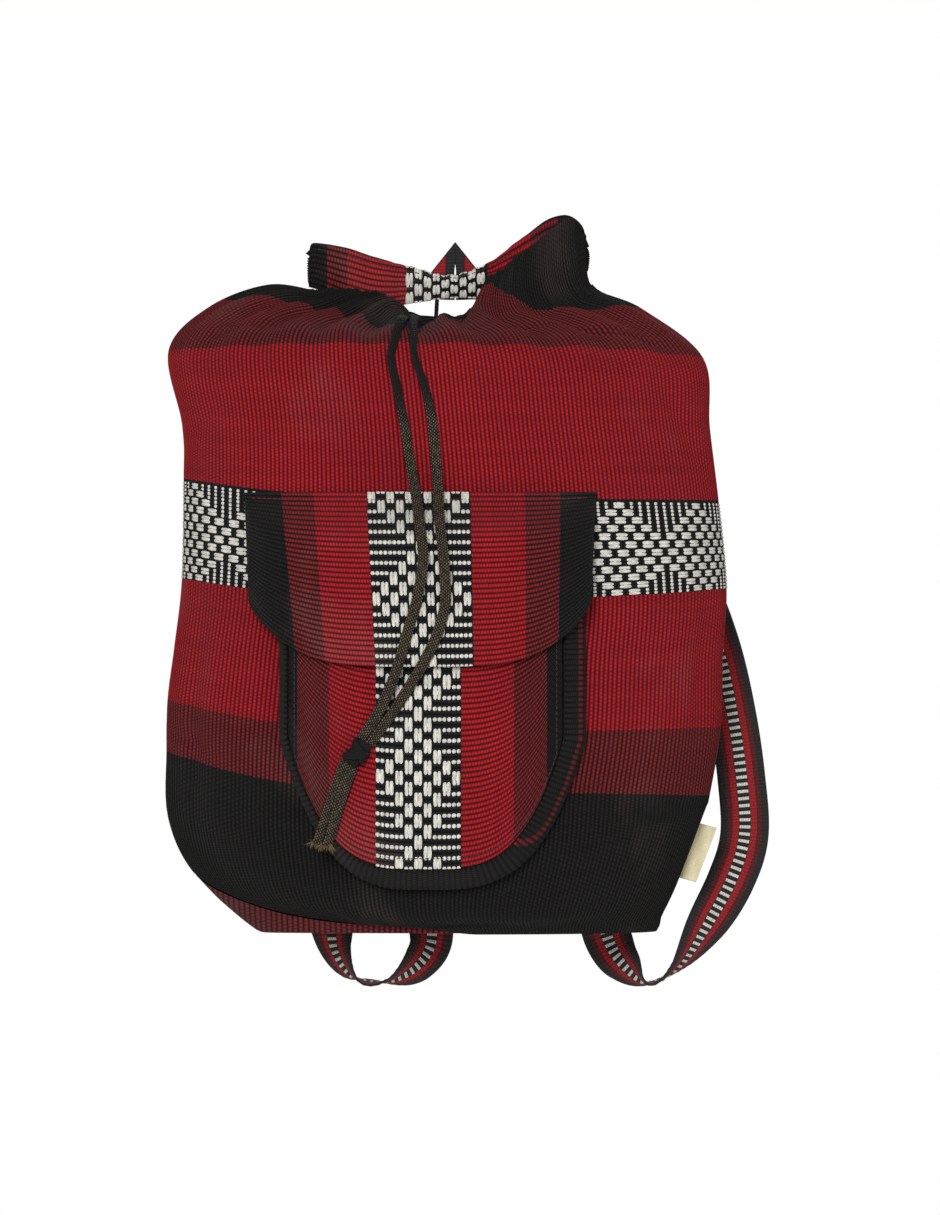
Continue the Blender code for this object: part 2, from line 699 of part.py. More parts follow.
def cord(name, route, diameter, parent):
    """A cord along the smooth curve through its route's points."""
    points = np.array(route)
    fine = [through(points, at) for at in np.linspace(0, len(points) - 1, 20 * len(points))]
    steps = np.linalg.norm(np.diff(fine, axis=0), axis=1)
    along = np.concatenate([[0.0], np.cumsum(steps)])
    count = round(along[-1] / (CORD_SPACING_IN_DIAMETERS * diameter)) + 1
    reach = np.linspace(0.0, along[-1], count)
    places = np.stack([np.interp(reach, along, np.array(fine)[:, i]) for i in range(3)], axis=1)
    curve = bpy.data.curves.new(name, "CURVE")
    curve.dimensions = "3D"
    curve.bevel_depth = diameter / 2
    curve.bevel_resolution = 2
    curve.use_fill_caps = True
    spline = curve.splines.new("POLY")
    spline.points.add(count - 1)
    for point, place in zip(spline.points, places):
        point.co = (*place, 1.0)
    curve.materials.append(material("cord"))
    obj = bpy.data.objects.new(name, curve)
    bpy.context.scene.collection.objects.link(obj)
    obj.parent = parent
    return obj


def make_knot(parent):
    """The lump of the overhand knot that holds both cords, with the waist where they cross."""
    bm = bmesh.new()
    bmesh.ops.create_uvsphere(bm, u_segments=16, v_segments=12, radius=0.5)
    for vert in bm.verts:
        waist = 1 - KNOT_WAIST * math.exp(-((vert.co.z / 0.16) ** 2))
        vert.co.x *= waist
        vert.co.y *= waist
    wide, deep, tall = KNOT_SIZE
    bmesh.ops.scale(bm, verts=bm.verts, vec=(wide, deep, tall))
    obj = new_object("drawcord_knot", bm, ["cord"], parent)
    obj.location = KNOT_PLACE
    obj.rotation_euler = (0.0, KNOT_TILT, 0.0)
    return obj


def main():
    clear_scene()
    frame = bpy.data.objects.new("bag_frame", None)
    frame.location = (0.0, -HOOK_Y, -HOOK_HEIGHT)
    bpy.context.scene.collection.objects.link(frame)
    _, front_grid = make_front_panel(frame)
    _, back_grid = make_back_panel(frame)
    make_base_panel(frame)
    make_rear_casing(frame)
    front, back = Surface(front_grid), Surface(back_grid)
    make_pocket_front(front, frame)
    make_pocket_gusset(front, frame)
    make_pocket_flap(front, frame)
    webbing("strap_right", RIGHT_STRAP_ROUTE, back, frame)
    webbing("strap_left", LEFT_STRAP_ROUTE, back, frame)
    make_hang_loop(frame)
    make_side_label(frame)
    for name, route in CORD_ROUTES.items():
        cord(name, route, CORD_DIAMETER, frame)
    cord("drawcord_crossing", CROSSING_ROUTE, CROSSING_DIAMETER, frame)
    make_knot(frame)


main()
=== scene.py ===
# %% [markdown]
# # A hand-woven striped backpack
#
# This lesson finishes a stuffed cotton drawstring backpack that hangs from its pointed loop. The
# plain model gives every piece its size and place. Here each piece is made again finely enough to
# show ribs, raised white threads, braid and webbing, and then it is lit and photographed.

import math
import random

import bmesh
import bpy
import numpy as np
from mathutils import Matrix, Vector
from mathutils.bvhtree import BVHTree


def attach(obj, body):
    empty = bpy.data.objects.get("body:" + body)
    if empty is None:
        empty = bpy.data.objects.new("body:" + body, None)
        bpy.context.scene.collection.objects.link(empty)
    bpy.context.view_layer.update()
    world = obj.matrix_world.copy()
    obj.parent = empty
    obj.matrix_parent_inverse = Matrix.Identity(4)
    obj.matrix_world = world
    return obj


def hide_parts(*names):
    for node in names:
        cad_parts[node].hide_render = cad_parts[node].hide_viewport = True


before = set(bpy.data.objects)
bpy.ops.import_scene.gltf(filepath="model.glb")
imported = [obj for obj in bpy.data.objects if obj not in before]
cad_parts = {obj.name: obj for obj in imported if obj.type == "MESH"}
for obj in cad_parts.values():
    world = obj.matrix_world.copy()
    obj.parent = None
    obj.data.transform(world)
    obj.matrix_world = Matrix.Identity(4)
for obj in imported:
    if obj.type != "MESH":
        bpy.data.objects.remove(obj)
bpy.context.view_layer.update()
print("nodes:", len(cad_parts))

# %% [markdown]
# ## The camera
#
# The bag is seen square from the front, from far enough away that near and far pieces keep almost
# the same scale. A long lens does that. The picture is 1215 pixels high, and one pixel covers
# 0.65 mm in the plane of the bag, so the lens follows from the distance.

# %% Camera
PIXEL, PICTURE_HEIGHT = 0.00065, 1215
CAMERA_DISTANCE, SENSOR = 4.5, 36.0
PICTURE_MIDDLE = (0.00975, -0.07, -0.2272)

scene = bpy.context.scene
camera_data = bpy.data.cameras.new("Camera")
camera_data.sensor_width = SENSOR
camera_data.lens = SENSOR * CAMERA_DISTANCE / (PICTURE_HEIGHT * PIXEL)
camera = bpy.data.objects.new("Camera", camera_data)
camera.location = np.array(PICTURE_MIDDLE) - (0, CAMERA_DISTANCE, 0)
camera.rotation_euler = (math.radians(90), 0.0, 0.0)
scene.collection.objects.link(camera)
scene.camera = camera
print("lens", round(camera_data.lens, 1), "mm")

# %% [markdown]
# ## The studio
#
# Cotton is matt, so it wants broad soft light. A pale sky lights it all round, a lamp close to the
# camera's line lets the sides fall off into shade, and weaker ones fill from the right and from
# behind. The floor lies half a metre below the bag. Rays from the camera see a plain white.

# %% Floor, sky and lamps
world = bpy.data.worlds.new("Studio sky")
world.use_nodes = True
sky = world.node_tree
light, seen = sky.nodes["Background"], sky.nodes.new("ShaderNodeBackground")
for node, strength in ((light, 0.31), (seen, 1.0)):
    node.inputs["Color"].default_value = (1.0, 1.0, 1.0, 1.0)
    node.inputs["Strength"].default_value = strength
choose = sky.nodes.new("ShaderNodeMixShader")
ray = sky.nodes.new("ShaderNodeLightPath")
sky.links.new(ray.outputs["Is Camera Ray"], choose.inputs["Fac"])
sky.links.new(light.outputs["Background"], choose.inputs[1])
sky.links.new(seen.outputs["Background"], choose.inputs[2])
sky.links.new(choose.outputs["Shader"], sky.nodes["World Output"].inputs["Surface"])
scene.world = world

bpy.ops.mesh.primitive_circle_add(vertices=64, radius=3.0, fill_type="NGON", location=(0, 0, -1.0))
floor = bpy.context.object
floor.name = "floor"
floor_paint = bpy.data.materials.new("pale floor")
floor_paint.use_nodes = True
floor_surface = floor_paint.node_tree.nodes["Principled BSDF"]
floor_surface.inputs["Base Color"].default_value = (0.82, 0.81, 0.79, 1)
floor_surface.inputs["Roughness"].default_value = 0.8
floor.data.materials.append(floor_paint)


def lamp(name, place, aim, size, power):
    """A square soft lamp that looks at a point."""
    data = bpy.data.lights.new(name, "AREA")
    data.size = size
    data.energy = power
    obj = bpy.data.objects.new(name, data)
    obj.location = place
    obj.rotation_euler = (Vector(aim) - Vector(place)).to_track_quat("-Z", "Y").to_euler()
    scene.collection.objects.link(obj)


lamp("key lamp", (-0.5, -3.2, 0.5), (0, 0, -0.2), 0.8, 66)
lamp("fill lamp", (1.4, -2.8, 0.1), (0, 0, -0.25), 1.4, 10)
lamp("rim lamp", (0.6, 1.8, 1.2), (0, 0, -0.2), 1.0, 14)
scene.view_settings.view_transform = "Standard"

# %% [markdown]
# ## Helpers that read lines and grids
#
# The pieces use the bag's own coordinates, with height 0 at the base. `through` reads a smooth
# curve through a few points, and `even_places` finds evenly spaced places on it. `spread` starts a
# grid, and `joined` puts coordinates together into points.

# %% Lines and grids
FRONT, BACK = -1, 1


def smoothstep(low, high, value):
    share = np.clip((np.asarray(value, float) - low) / (high - low), 0.0, 1.0)
    return share * share * (3 - 2 * share)


def through(points, at):
    """Catmull-Rom curve through the points, read at an array of places counted in points."""
    points = np.asarray(points, float)
    last = len(points) - 1
    at = np.clip(np.asarray(at, float), 0.0, last)
    first = np.minimum(at.astype(int), last - 1)
    share = at - first
    if points.ndim > 1:
        share = share[..., None]
    before, start = points[np.maximum(first - 1, 0)], points[first]
    end, after = points[first + 1], points[np.minimum(first + 2, last)]
    return 0.5 * (
        2 * start
        + (end - before) * share
        + (2 * before - 5 * start + 4 * end - after) * share**2
        + (3 * start - before - 3 * end + after) * share**3
    )


def joined(*values):
    return np.stack(np.broadcast_arrays(*values), axis=-1)


def spread(rows, columns, up=(0.0, 1.0), along=(0.0, 1.0)):
    """Two grids of numbers: one changes from row to row, the other from column to column."""
    return np.meshgrid(np.linspace(*up, rows), np.linspace(*along, columns), indexing="ij")


def unit(vectors):
    return vectors / np.maximum(np.linalg.norm(vectors, axis=-1, keepdims=True), 1e-12)


def outward(points):
    """Unit normals of a grid whose columns run rightwards and rows upwards on the front."""
    return unit(np.cross(np.gradient(points, axis=1), np.gradient(points, axis=0)))


def running(steps):
    return np.concatenate([[0.0], np.cumsum(steps)])


def way_along(line):
    """How far each point of a line lies from its start, measured along it."""
    return running(np.linalg.norm(np.diff(line, axis=0), axis=1))


def read_along(way, reach, line):
    """A line of points, reached at the given ways, read at an array of other ways."""
    return np.stack([np.interp(way, reach, line[:, i]) for i in range(3)], axis=-1)


def even_places(route, fine, spacing, more=0):
    """Evenly spaced places on a route, counted in its points, and the way to each."""
    places = np.linspace(0, len(route) - 1, fine)
    reach = way_along(through(route, places))
    way = np.linspace(0, reach[-1], int(reach[-1] / spacing) + more)
    return np.interp(way, reach, places), way


def ridges(place):
    """A rib's height, 0 to 1, in the middle of each unit of the place."""
    return 1 - np.abs((place % 1.0) - 0.5) ** 1.6 * 2**1.6


# %% [markdown]
# ## Helpers that make meshes
#
# `grid_object` asks Blender's grid operator for a flat grid and lays its corners on computed
# places. `strips_object` cuts such a grid into many separate small strips. Both move the places as
# they are written, so that the point where the hook bears is the world's origin.

# %% Meshes
OFFSET = np.array((0.0, 0.0041, -0.4378))


def placed_grid(name, rows, columns, material, read, across=0):
    """The operator's grid; read(row, column) gives its places and UV maps. Strips are cut apart."""
    bm = bmesh.new()
    bmesh.ops.create_grid(bm, x_segments=columns - 1, y_segments=rows - 1, size=0.5)
    flat = np.array([vert.co[:2] for vert in bm.verts])
    column = np.rint((flat[:, 0] + 0.5) * (columns - 1)).astype(int)
    row = np.rint((flat[:, 1] + 0.5) * (rows - 1)).astype(int)
    if across:
        number = {vert: column[i] for i, vert in enumerate(bm.verts)}
        joins = [f for f in bm.faces if min(number[v] for v in f.verts) % across == across - 1]
        bmesh.ops.delete(bm, geom=joins, context="FACES_ONLY")
        loose = [edge for edge in bm.edges if not edge.link_faces]
        bmesh.ops.delete(bm, geom=loose, context="EDGES")
    mesh = bpy.data.meshes.new(name)
    bm.to_mesh(mesh)
    bm.free()
    places, uvs = read(row, column)
    mesh.vertices.foreach_set("co", (places + OFFSET).astype(np.float32).ravel())
    corners = np.empty(len(mesh.loops), dtype=np.int32)
    mesh.loops.foreach_get("vertex_index", corners)
    for layer, values in uvs.items():
        made = mesh.uv_layers.new(name=layer)
        made.data.foreach_set("uv", values[corners].astype(np.float32).ravel())
    mesh.materials.append(material)
    mesh.shade_smooth()
    mesh.update()
    obj = bpy.data.objects.new(name, mesh)
    scene.collection.objects.link(obj)
    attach(obj, "root")
    return obj


def grid_object(name, grid, uvs, material, thickness=0.0):
    """A grid of places made into one sheet, thickened inwards when a thickness is given."""

    def read(row, column):
        return grid[row, column], {layer: values[row, column] for layer, values in uvs.items()}

    obj = placed_grid(name, *grid.shape[:2], material, read)
    if thickness:
        solid = obj.modifiers.new("Cloth thickness", "SOLIDIFY")
        solid.thickness = thickness
        solid.offset = -1
        solid.use_even_offset = False
    return obj


def strips_object(name, strips, uv, material):
    """Many small strips at once: strips is (count, across, along, 3)."""
    count, across, along = strips.shape[:3]

    def read(row, column):
        at = column // across, column % across, row
        return strips[at], {"thread": uv[at]}

    return placed_grid(name, along, count * across, material, read, across)


def weld(obj, distance):
    """Close the seams of a round grid and turn its faces outwards."""
    bm = bmesh.new()
    bm.from_mesh(obj.data)
    bmesh.ops.remove_doubles(bm, verts=bm.verts, dist=distance)
    bmesh.ops.recalc_face_normals(bm, faces=bm.faces)
    bm.to_mesh(obj.data)
    bm.free()


# %% [markdown]
# ## Colours and yarn shaders
#
# The cloth is warp-faced: only the warp threads show, crossing over one hidden weft thread after
# another, so the face has upright ribs, each a column of small dots, and the dots of neighbouring
# ribs are offset by half. The shader works in the cloth's own UV map, where one unit across is one
# rib and one unit up is one dot, so the weave follows every fold. It also feeds a bump.

# %% Shader helpers
def linear(red, green, blue):
    """A colour read as 0 to 255 on a screen, as the linear value that shaders want."""
    shares = [value / 255 for value in (red, green, blue)]
    made = [s / 12.92 if s <= 0.04045 else ((s + 0.055) / 1.055) ** 2.4 for s in shares]
    return (*made, 1.0)


class Shader:
    """A material whose nodes are added one line at a time."""

    def __init__(self, name, roughness=0.9, **inputs):
        self.material = bpy.data.materials.new(name)
        self.material.use_nodes = True
        self.tree = self.material.node_tree
        self.surface = self.tree.nodes["Principled BSDF"]
        self.surface.inputs["Roughness"].default_value = roughness
        for key, value in inputs.items():
            self.surface.inputs[key.replace("_", " ")].default_value = value

    def node(self, kind, **settings):
        made = self.tree.nodes.new(kind)
        for key, value in settings.items():
            setattr(made, key, value)
        return made

    def plug(self, socket, value):
        if isinstance(value, bpy.types.NodeSocket):
            self.tree.links.new(value, socket)
        else:
            socket.default_value = value

    def fill(self, made, values, output=0):
        for socket, value in zip(made.inputs, values):
            self.plug(socket, value)
        return made.outputs[output]

    def math(self, operation, *values):
        return self.fill(self.node("ShaderNodeMath", operation=operation), values)

    def add(self, first, second):
        return self.math("ADD", first, second)

    def mul(self, first, second):
        return self.math("MULTIPLY", first, second)

    def sub(self, first, second):
        return self.math("SUBTRACT", first, second)

    def uv(self, layer):
        split = self.node("ShaderNodeSeparateXYZ")
        self.plug(split.inputs[0], self.node("ShaderNodeUVMap", uv_map=layer).outputs[0])
        return split.outputs[0], split.outputs[1]

    def ramp(self, value, stops, hard=False):
        made = self.node("ShaderNodeValToRGB")
        made.color_ramp.interpolation = "CONSTANT" if hard else "LINEAR"
        elements = made.color_ramp.elements
        elements[0].position, elements[0].color = stops[0]
        elements[1].position, elements[1].color = stops[-1]
        for place, colour in stops[1:-1]:
            elements.new(place).color = colour
        return self.fill(made, [value])

    def mix(self, share, first, second, kind="MIX"):
        made = self.node("ShaderNodeMix", data_type="RGBA", blend_type=kind)
        for index, value in ((0, share), (6, first), (7, second)):
            self.plug(made.inputs[index], value)
        return made.outputs[2]

    def vector(self, x, y, z=0.0):
        return self.fill(self.node("ShaderNodeCombineXYZ"), (x, y, z))

    def darkened(self, colour, shade):
        return self.mix(1.0, colour, self.vector(shade, shade, shade), "MULTIPLY")

    def noise(self, x, x_scale, y, y_scale, detail=3.0):
        made = self.node("ShaderNodeTexNoise")
        made.inputs["Scale"].default_value = 1.0
        made.inputs["Detail"].default_value = detail
        self.plug(made.inputs["Vector"], self.vector(self.mul(x, x_scale), self.mul(y, y_scale)))
        return made.outputs[0]

    def hump(self, value, power=2.0):
        """1 in the middle of each unit of the value, falling to 0 at its ends."""
        edge = self.math("ABSOLUTE", self.sub(self.math("FRACT", value), 0.5))
        return self.sub(1.0, self.math("POWER", self.mul(edge, 2.0), power))

    def stagger(self, value):
        """Half a unit in every second unit of the value."""
        return self.mul(self.math("FLOORED_MODULO", self.math("FLOOR", value), 2.0), 0.5)

    def finish(self, colour, height, distance, strength=1.0):
        """Give the surface its colour and a bump, and hand the material over."""
        self.plug(self.surface.inputs["Base Color"], colour)
        made = self.node("ShaderNodeBump")
        made.inputs["Strength"].default_value = strength
        made.inputs["Distance"].default_value = distance
        self.plug(made.inputs["Height"], height)
        self.plug(self.surface.inputs["Normal"], made.outputs[0])
        return self.material


# %% [markdown]
# `ribbed_cloth` takes the stripes as a list of stops across the cloth. Each yarn has a darker
# colour for its valleys and a lighter one for its dots: its own colour with painted shade in the
# valleys and a painted highlight on the dots, and the valleys get more painted shade on top. A mix
# stripe is black and red warp threads taken in turn, which reads as dark red. Slow noise along
# single threads gives the uneven dye of hand-spun yarn.

# %% The ribbed cloth
# Each yarn's two colours: the valleys' with painted shade, the dots' with a painted highlight.
YARN = {
    "black": (linear(9, 8, 9), linear(34, 33, 31)),
    "mix": (linear(26, 8, 10), linear(132, 38, 42)),
    "red": (linear(90, 3, 12), linear(178, 36, 44)),
    "band": (linear(12, 11, 14), linear(34, 33, 37)),
}
WORN = linear(120, 96, 92)


def ribbed_cloth(name, stripes):
    s = Shader(name, Specular_IOR_Level=0.15, Sheen_Weight=0.03, Sheen_Roughness=0.5)
    rib, dot = s.uv("weave")
    across, _ = s.uv("stripe")
    ridge = s.hump(rib)
    bead = s.hump(s.add(dot, s.stagger(rib)), 2.4)
    height = s.mul(ridge, s.add(0.45, s.mul(bead, 0.55)))
    low, high = (
        s.ramp(across, [(place, YARN[yarn][end]) for place, yarn in stripes], hard=True)
        for end in (0, 1)
    )
    fibre = s.noise(rib, 2.6, dot, 3.2)
    # The dots take the painted highlight as the rib rises, the valleys the painted shade.
    colour = s.mix(s.mul(s.math("POWER", height, 1.5), s.add(0.45, fibre)), low, high)
    streak = s.noise(rib, 0.02, dot, 0.35, 2.0)
    patch = s.noise(rib, 0.045, dot, 0.03, 2.0)
    shade = s.add(0.58, s.mul(s.add(streak, patch), 0.42))
    # Painted shade that darkens the valleys between the ribs.
    painted_valley_shade = s.add(0.62, s.mul(ridge, 0.38))
    colour = s.darkened(colour, s.mul(shade, painted_valley_shade))
    worn = s.sub(s.noise(rib, 0.028, dot, 0.016, 4.0), 0.56)
    worn = s.mul(s.mul(s.math("MAXIMUM", 0.0, worn), 2.2), height)
    return s.finish(s.mix(worn, colour, WORN), s.add(height, s.mul(fibre, 0.25)), 0.0007)


TOP_LEVEL = 12
YARNS = ("black", "mix", "red", "band", "red", "mix", "black")
BODY_STRIPES = zip((level / TOP_LEVEL for level in (0, 3, 4, 6, 7, 9, 10)), YARNS)
UPRIGHT_STRIPES = zip((0.0, 0.11, 0.20, 0.35, 0.64, 0.79, 0.89), YARNS)
body_cloth = ribbed_cloth("body cloth", list(BODY_STRIPES))
upright_cloth = ribbed_cloth("upright cloth", list(UPRIGHT_STRIPES))
base_cloth = ribbed_cloth("base cloth", [(0.0, "mix"), (1.0, "mix")])
gusset_cloth = ribbed_cloth("gusset cloth", [(0.0, "black"), (0.42, "mix"), (0.60, "black")])
print("cloth materials:", len(bpy.data.materials))

# %% [markdown]
# The white threads are brighter, thicker cotton. They are real raised threads, so their material
# only needs a few fibres along each thread and a little dirt. Sewing threads and the fibres of the
# frayed ends are made the same way.

# %% Threads
def thread(name, low, high, fibres=7.0):
    s = Shader(name, 0.85, Sheen_Weight=0.1)
    across, along = s.uv("thread")
    strand = s.noise(across, fibres, along, 0.8)
    return s.finish(s.ramp(strand, [(0.3, low), (0.62, high)]), strand, 0.0002, 0.7)


white_thread = thread("white thread", linear(150, 147, 138), linear(234, 232, 222))
dark_thread = thread("dark sewing thread", linear(20, 17, 18), linear(58, 50, 50))
red_thread = thread("red sewing thread", linear(66, 8, 14), linear(128, 26, 34))
fibre_thread = thread("frayed fibre", linear(70, 52, 34), linear(150, 124, 74), 2.0)

# %% [markdown]
# ## The bag's body
#
# The body is a loft. Each level of the cloth is a half ring between the two side seams, a soft
# rectangle in plan, and thirteen levels carry it from the base to the drawn mouth. A row of LEVELS
# gives x and height of the left seam and of the right seam, then y and height of the front's middle
# and of the back's middle, as shares of the half width, the depth and the shoulder height.

# %% The loft
HALF_WIDTH, BAG_DEPTH, SHOULDER_HEIGHT = 0.188, 0.152, 0.4215
CLOTH = 0.0022
RING_POWER = 2.35
LEVELS = np.array((
    (-0.700, 0.010, 0.700, 0.010, -0.645, 0.010, -0.050, 0.010),
    (-0.905, 0.088, 0.766, 0.069, -0.776, 0.028, 0.066, 0.033),
    (-0.995, 0.175, 0.864, 0.183, -0.836, 0.119, 0.118, 0.119),
    (-1.000, 0.278, 0.883, 0.210, -0.855, 0.218, 0.132, 0.225),
    (-0.997, 0.355, 0.920, 0.312, -0.862, 0.308, 0.138, 0.315),
    (-0.973, 0.440, 0.928, 0.427, -0.855, 0.408, 0.138, 0.415),
    (-0.947, 0.545, 0.942, 0.529, -0.836, 0.512, 0.132, 0.520),
    (-0.941, 0.696, 0.915, 0.661, -0.803, 0.662, 0.118, 0.665),
    (-0.947, 0.783, 0.883, 0.778, -0.770, 0.771, 0.099, 0.780),
    (-0.995, 0.898, 0.862, 0.887, -0.678, 0.904, 0.053, 0.880),
    (-0.856, 0.965, 0.652, 0.964, -0.513, 0.934, 0.000, 0.904),
    (-0.657, 1.000, 0.480, 1.002, -0.355, 0.944, -0.040, 0.911),
    (-0.500, 0.994, 0.452, 1.079, -0.276, 0.941, -0.080, 0.900),
))
LOWER_BLACK, BAND_BOTTOM = 2, 6
UPPER_RED, UPPER_MIX, UPPER_BLACK, SHOULDER, RIM = 8, 9, 10, 11, 12
# How far the front rim stands above a plain curve, in mm at places across the bag in mm.
RIM_AT = (-94, -80, -68, -54, -40, -34, -26, -12, 0, 10, 21, 41, 60, 72, 80, 83, 85)
RIM_RISE = (0, 8, 12, 15, 14, 6, 0, 2, 1, 9, 27, 32, 32, 28, 18, 9, -6)
RIM_AT, RIM_RISE = np.array(RIM_AT) / 1000, np.array(RIM_RISE) / 1000
RIM_SOFT = 0.0025
LEVEL_STEP = 0.05


def ring(level, side):
    """Half a ring of cloth from the left seam to the right seam, and each point's way along it."""
    left_x, left_z, right_x, right_z, front_y, front_z, back_y, back_z = through(LEVELS, level)
    middle_y, middle_z = (front_y, front_z) if side == FRONT else (back_y, back_z)
    angle = np.linspace(0.0, math.pi, 601)
    across, out = -np.cos(angle), np.maximum(np.sin(angle), 0.0)
    half = (right_x - left_x) / 2 * HALF_WIDTH
    centre = (right_x + left_x) / 2 * HALF_WIDTH
    seam_y = (0.45 * front_y + 0.55 * back_y) * BAG_DEPTH
    x = centre + half * np.sign(across) * np.abs(across) ** (2 / RING_POWER)
    y = seam_y + (middle_y * BAG_DEPTH - seam_y) * out ** (2 / RING_POWER)
    seam_z = np.where(across < 0, left_z, right_z)
    z = (across**2 * seam_z + out**2 * middle_z) * SHOULDER_HEIGHT
    if side == FRONT:
        near = [np.interp(x + RIM_SOFT * k, RIM_AT, RIM_RISE) for k in (-1, 0, 1)]
        z = z + smoothstep(SHOULDER - 0.5, RIM, level) * sum(near) / 3
    return joined(x, y, z), running(np.hypot(np.diff(x), np.diff(y)))


def cloth_table(side, shares, inset):
    """The loft's places at every small step of level, a column for each share."""
    made = []
    for level in np.arange(0, RIM + LEVEL_STEP / 2, LEVEL_STEP):
        points, along = ring(level, side)
        made.append(read_along(inset + (along[-1] - 2 * inset) * shares, along, points))
    return np.array(made)


def cloth_at(table, levels):
    """The table read at a grid of levels, one column for each of its shares."""
    place = np.clip(levels / LEVEL_STEP, 0, len(table) - 1.001)
    low = place.astype(int)
    share = (place - low)[..., None]
    column = np.arange(levels.shape[1])
    return table[low, column] * (1 - share) + table[low + 1, column] * share


def base_seam(share):
    """The level of the base panel's seam, which climbs round the lower left corner."""
    return np.maximum(0.0, 1 - share / 0.55) ** 1.3


# %% [markdown]
# ## Folds
#
# Stuffed cloth is never smooth. The drawn mouth throws pleats that fade downwards, the filling
# pushes slow bulges through the sides, and shallow creases run in from the corners. Each is a small
# move along the surface's own normal.

# %% Folds of the body
GATHERS, GATHER_DEPTH = 11, 0.0032
# Each crease runs from one (share, level) place to another, with a width in levels and a depth.
CREASES = (
    ((0.90, 9.1), (0.70, 9.9), 0.30, 0.0050),
    ((0.86, 8.3), (0.79, 9.1), 0.35, 0.0016),
    ((0.10, 9.2), (0.24, 9.9), 0.30, 0.0026),
    ((0.04, 7.6), (0.16, 8.5), 0.35, 0.0018),
    ((0.115, 1.8), (0.105, 5.6), 0.24, 0.0040),
    ((0.90, 3.6), (0.91, 6.0), 0.28, 0.0034),
    ((0.85, 8.9), (0.93, 7.4), 0.26, 0.0030),
    ((0.05, 3.6), (0.16, 3.0), 0.40, 0.0016),
    ((0.93, 2.2), (0.84, 3.0), 0.40, 0.0016),
    ((0.42, 9.4), (0.47, 10.6), 0.35, 0.0016),
    ((0.56, 9.6), (0.53, 10.6), 0.35, 0.0014),
)


def crease(shares, levels, start, end, width, depth):
    """A dent along the line between two places, soft at its ends."""
    start, end = np.array(start), np.array(end)
    way = end - start
    place = joined(shares - start[0], levels - start[1])
    along = np.clip((place @ way) / (way @ way), 0.0, 1.0)
    off = place - along[..., None] * way
    distance = np.hypot(off[..., 0] * TOP_LEVEL, off[..., 1])
    return -depth * np.exp(-((distance / width) ** 2)) * np.sin(math.pi * (0.1 + 0.8 * along))


def body_folds(shares, levels, side):
    fade = np.sin(math.pi * np.clip(shares, 0, 1)) ** 0.5
    depth = GATHER_DEPTH * smoothstep(UPPER_RED, UPPER_BLACK, levels)
    depth = depth * (1 - 0.7 * smoothstep(SHOULDER, RIM, levels))
    moved = depth * np.cos(2 * math.pi * GATHERS * shares + 1.3 * np.sin(5 * shares)) * fade
    fine = 0.0007 * smoothstep(9.2, 11.0, levels)
    moved = moved + fine * np.sin(2 * math.pi * 31 * shares + 4 * np.sin(7 * shares)) * fade
    slow = np.sin(9 * shares + 0.9 * levels) * np.sin(1.1 * levels + 3 * shares)
    moved = moved + 0.0011 * slow * fade * smoothstep(1.0, 3.0, levels)
    moved = moved + 0.0006 * np.sin(21 * shares - 1.7 * levels) * fade
    for dent in CREASES if side == FRONT else ():
        moved = moved + crease(shares, levels, *dent)
    return moved


# %% [markdown]
# ## The front and back panels
#
# Each panel is one sheet with a fixed number of ribs, so the ribs crowd together where the mouth
# is drawn, as the real ones do. Four columns of faces per rib are enough to raise it. At the top
# the sheet rolls over and runs down inside as a hem; at the sides and the base its edge turns in
# to make the seam's groove. The dark red stripe's upper edge wanders on the front, because the
# mouth was cut uneven.

# %% Panels
RIB_HEIGHT, DOT_PITCH = 0.00055, 0.0024
PER_RIB = 4
FRONT_RIBS, BACK_RIBS = 146, 132
FRONT_ROWS = (7, 7, 6, 6, 6, 7, 10, 7, 12, 14, 12, 12)
BACK_ROWS = (6, 6, 4, 4, 4, 5, 8, 5, 6, 8, 8)
SEAM_INSET, SIDE_GROOVE, BASE_GROOVE = 0.0004, 0.0016, 0.0006
HEM = 0.020
# On the right the front's edge comes down a little over the base.
COVER_DROP, COVER_OUT = 0.0052, 0.0006
BORDER_AT = (0.0, 0.043, 0.110, 0.245, 0.340, 0.430, 0.525, 0.600, 0.660, 0.728, 0.815, 0.910, 1.0)
BORDER_LEVEL = (10.2, 10.3, 10.75, 10.85, 10.5, 9.9, 10.5, 11.6, 11.6, 11.1, 10.6, 10.15, 10.0)
UP = np.array((0.0, 0.0, 1.0))


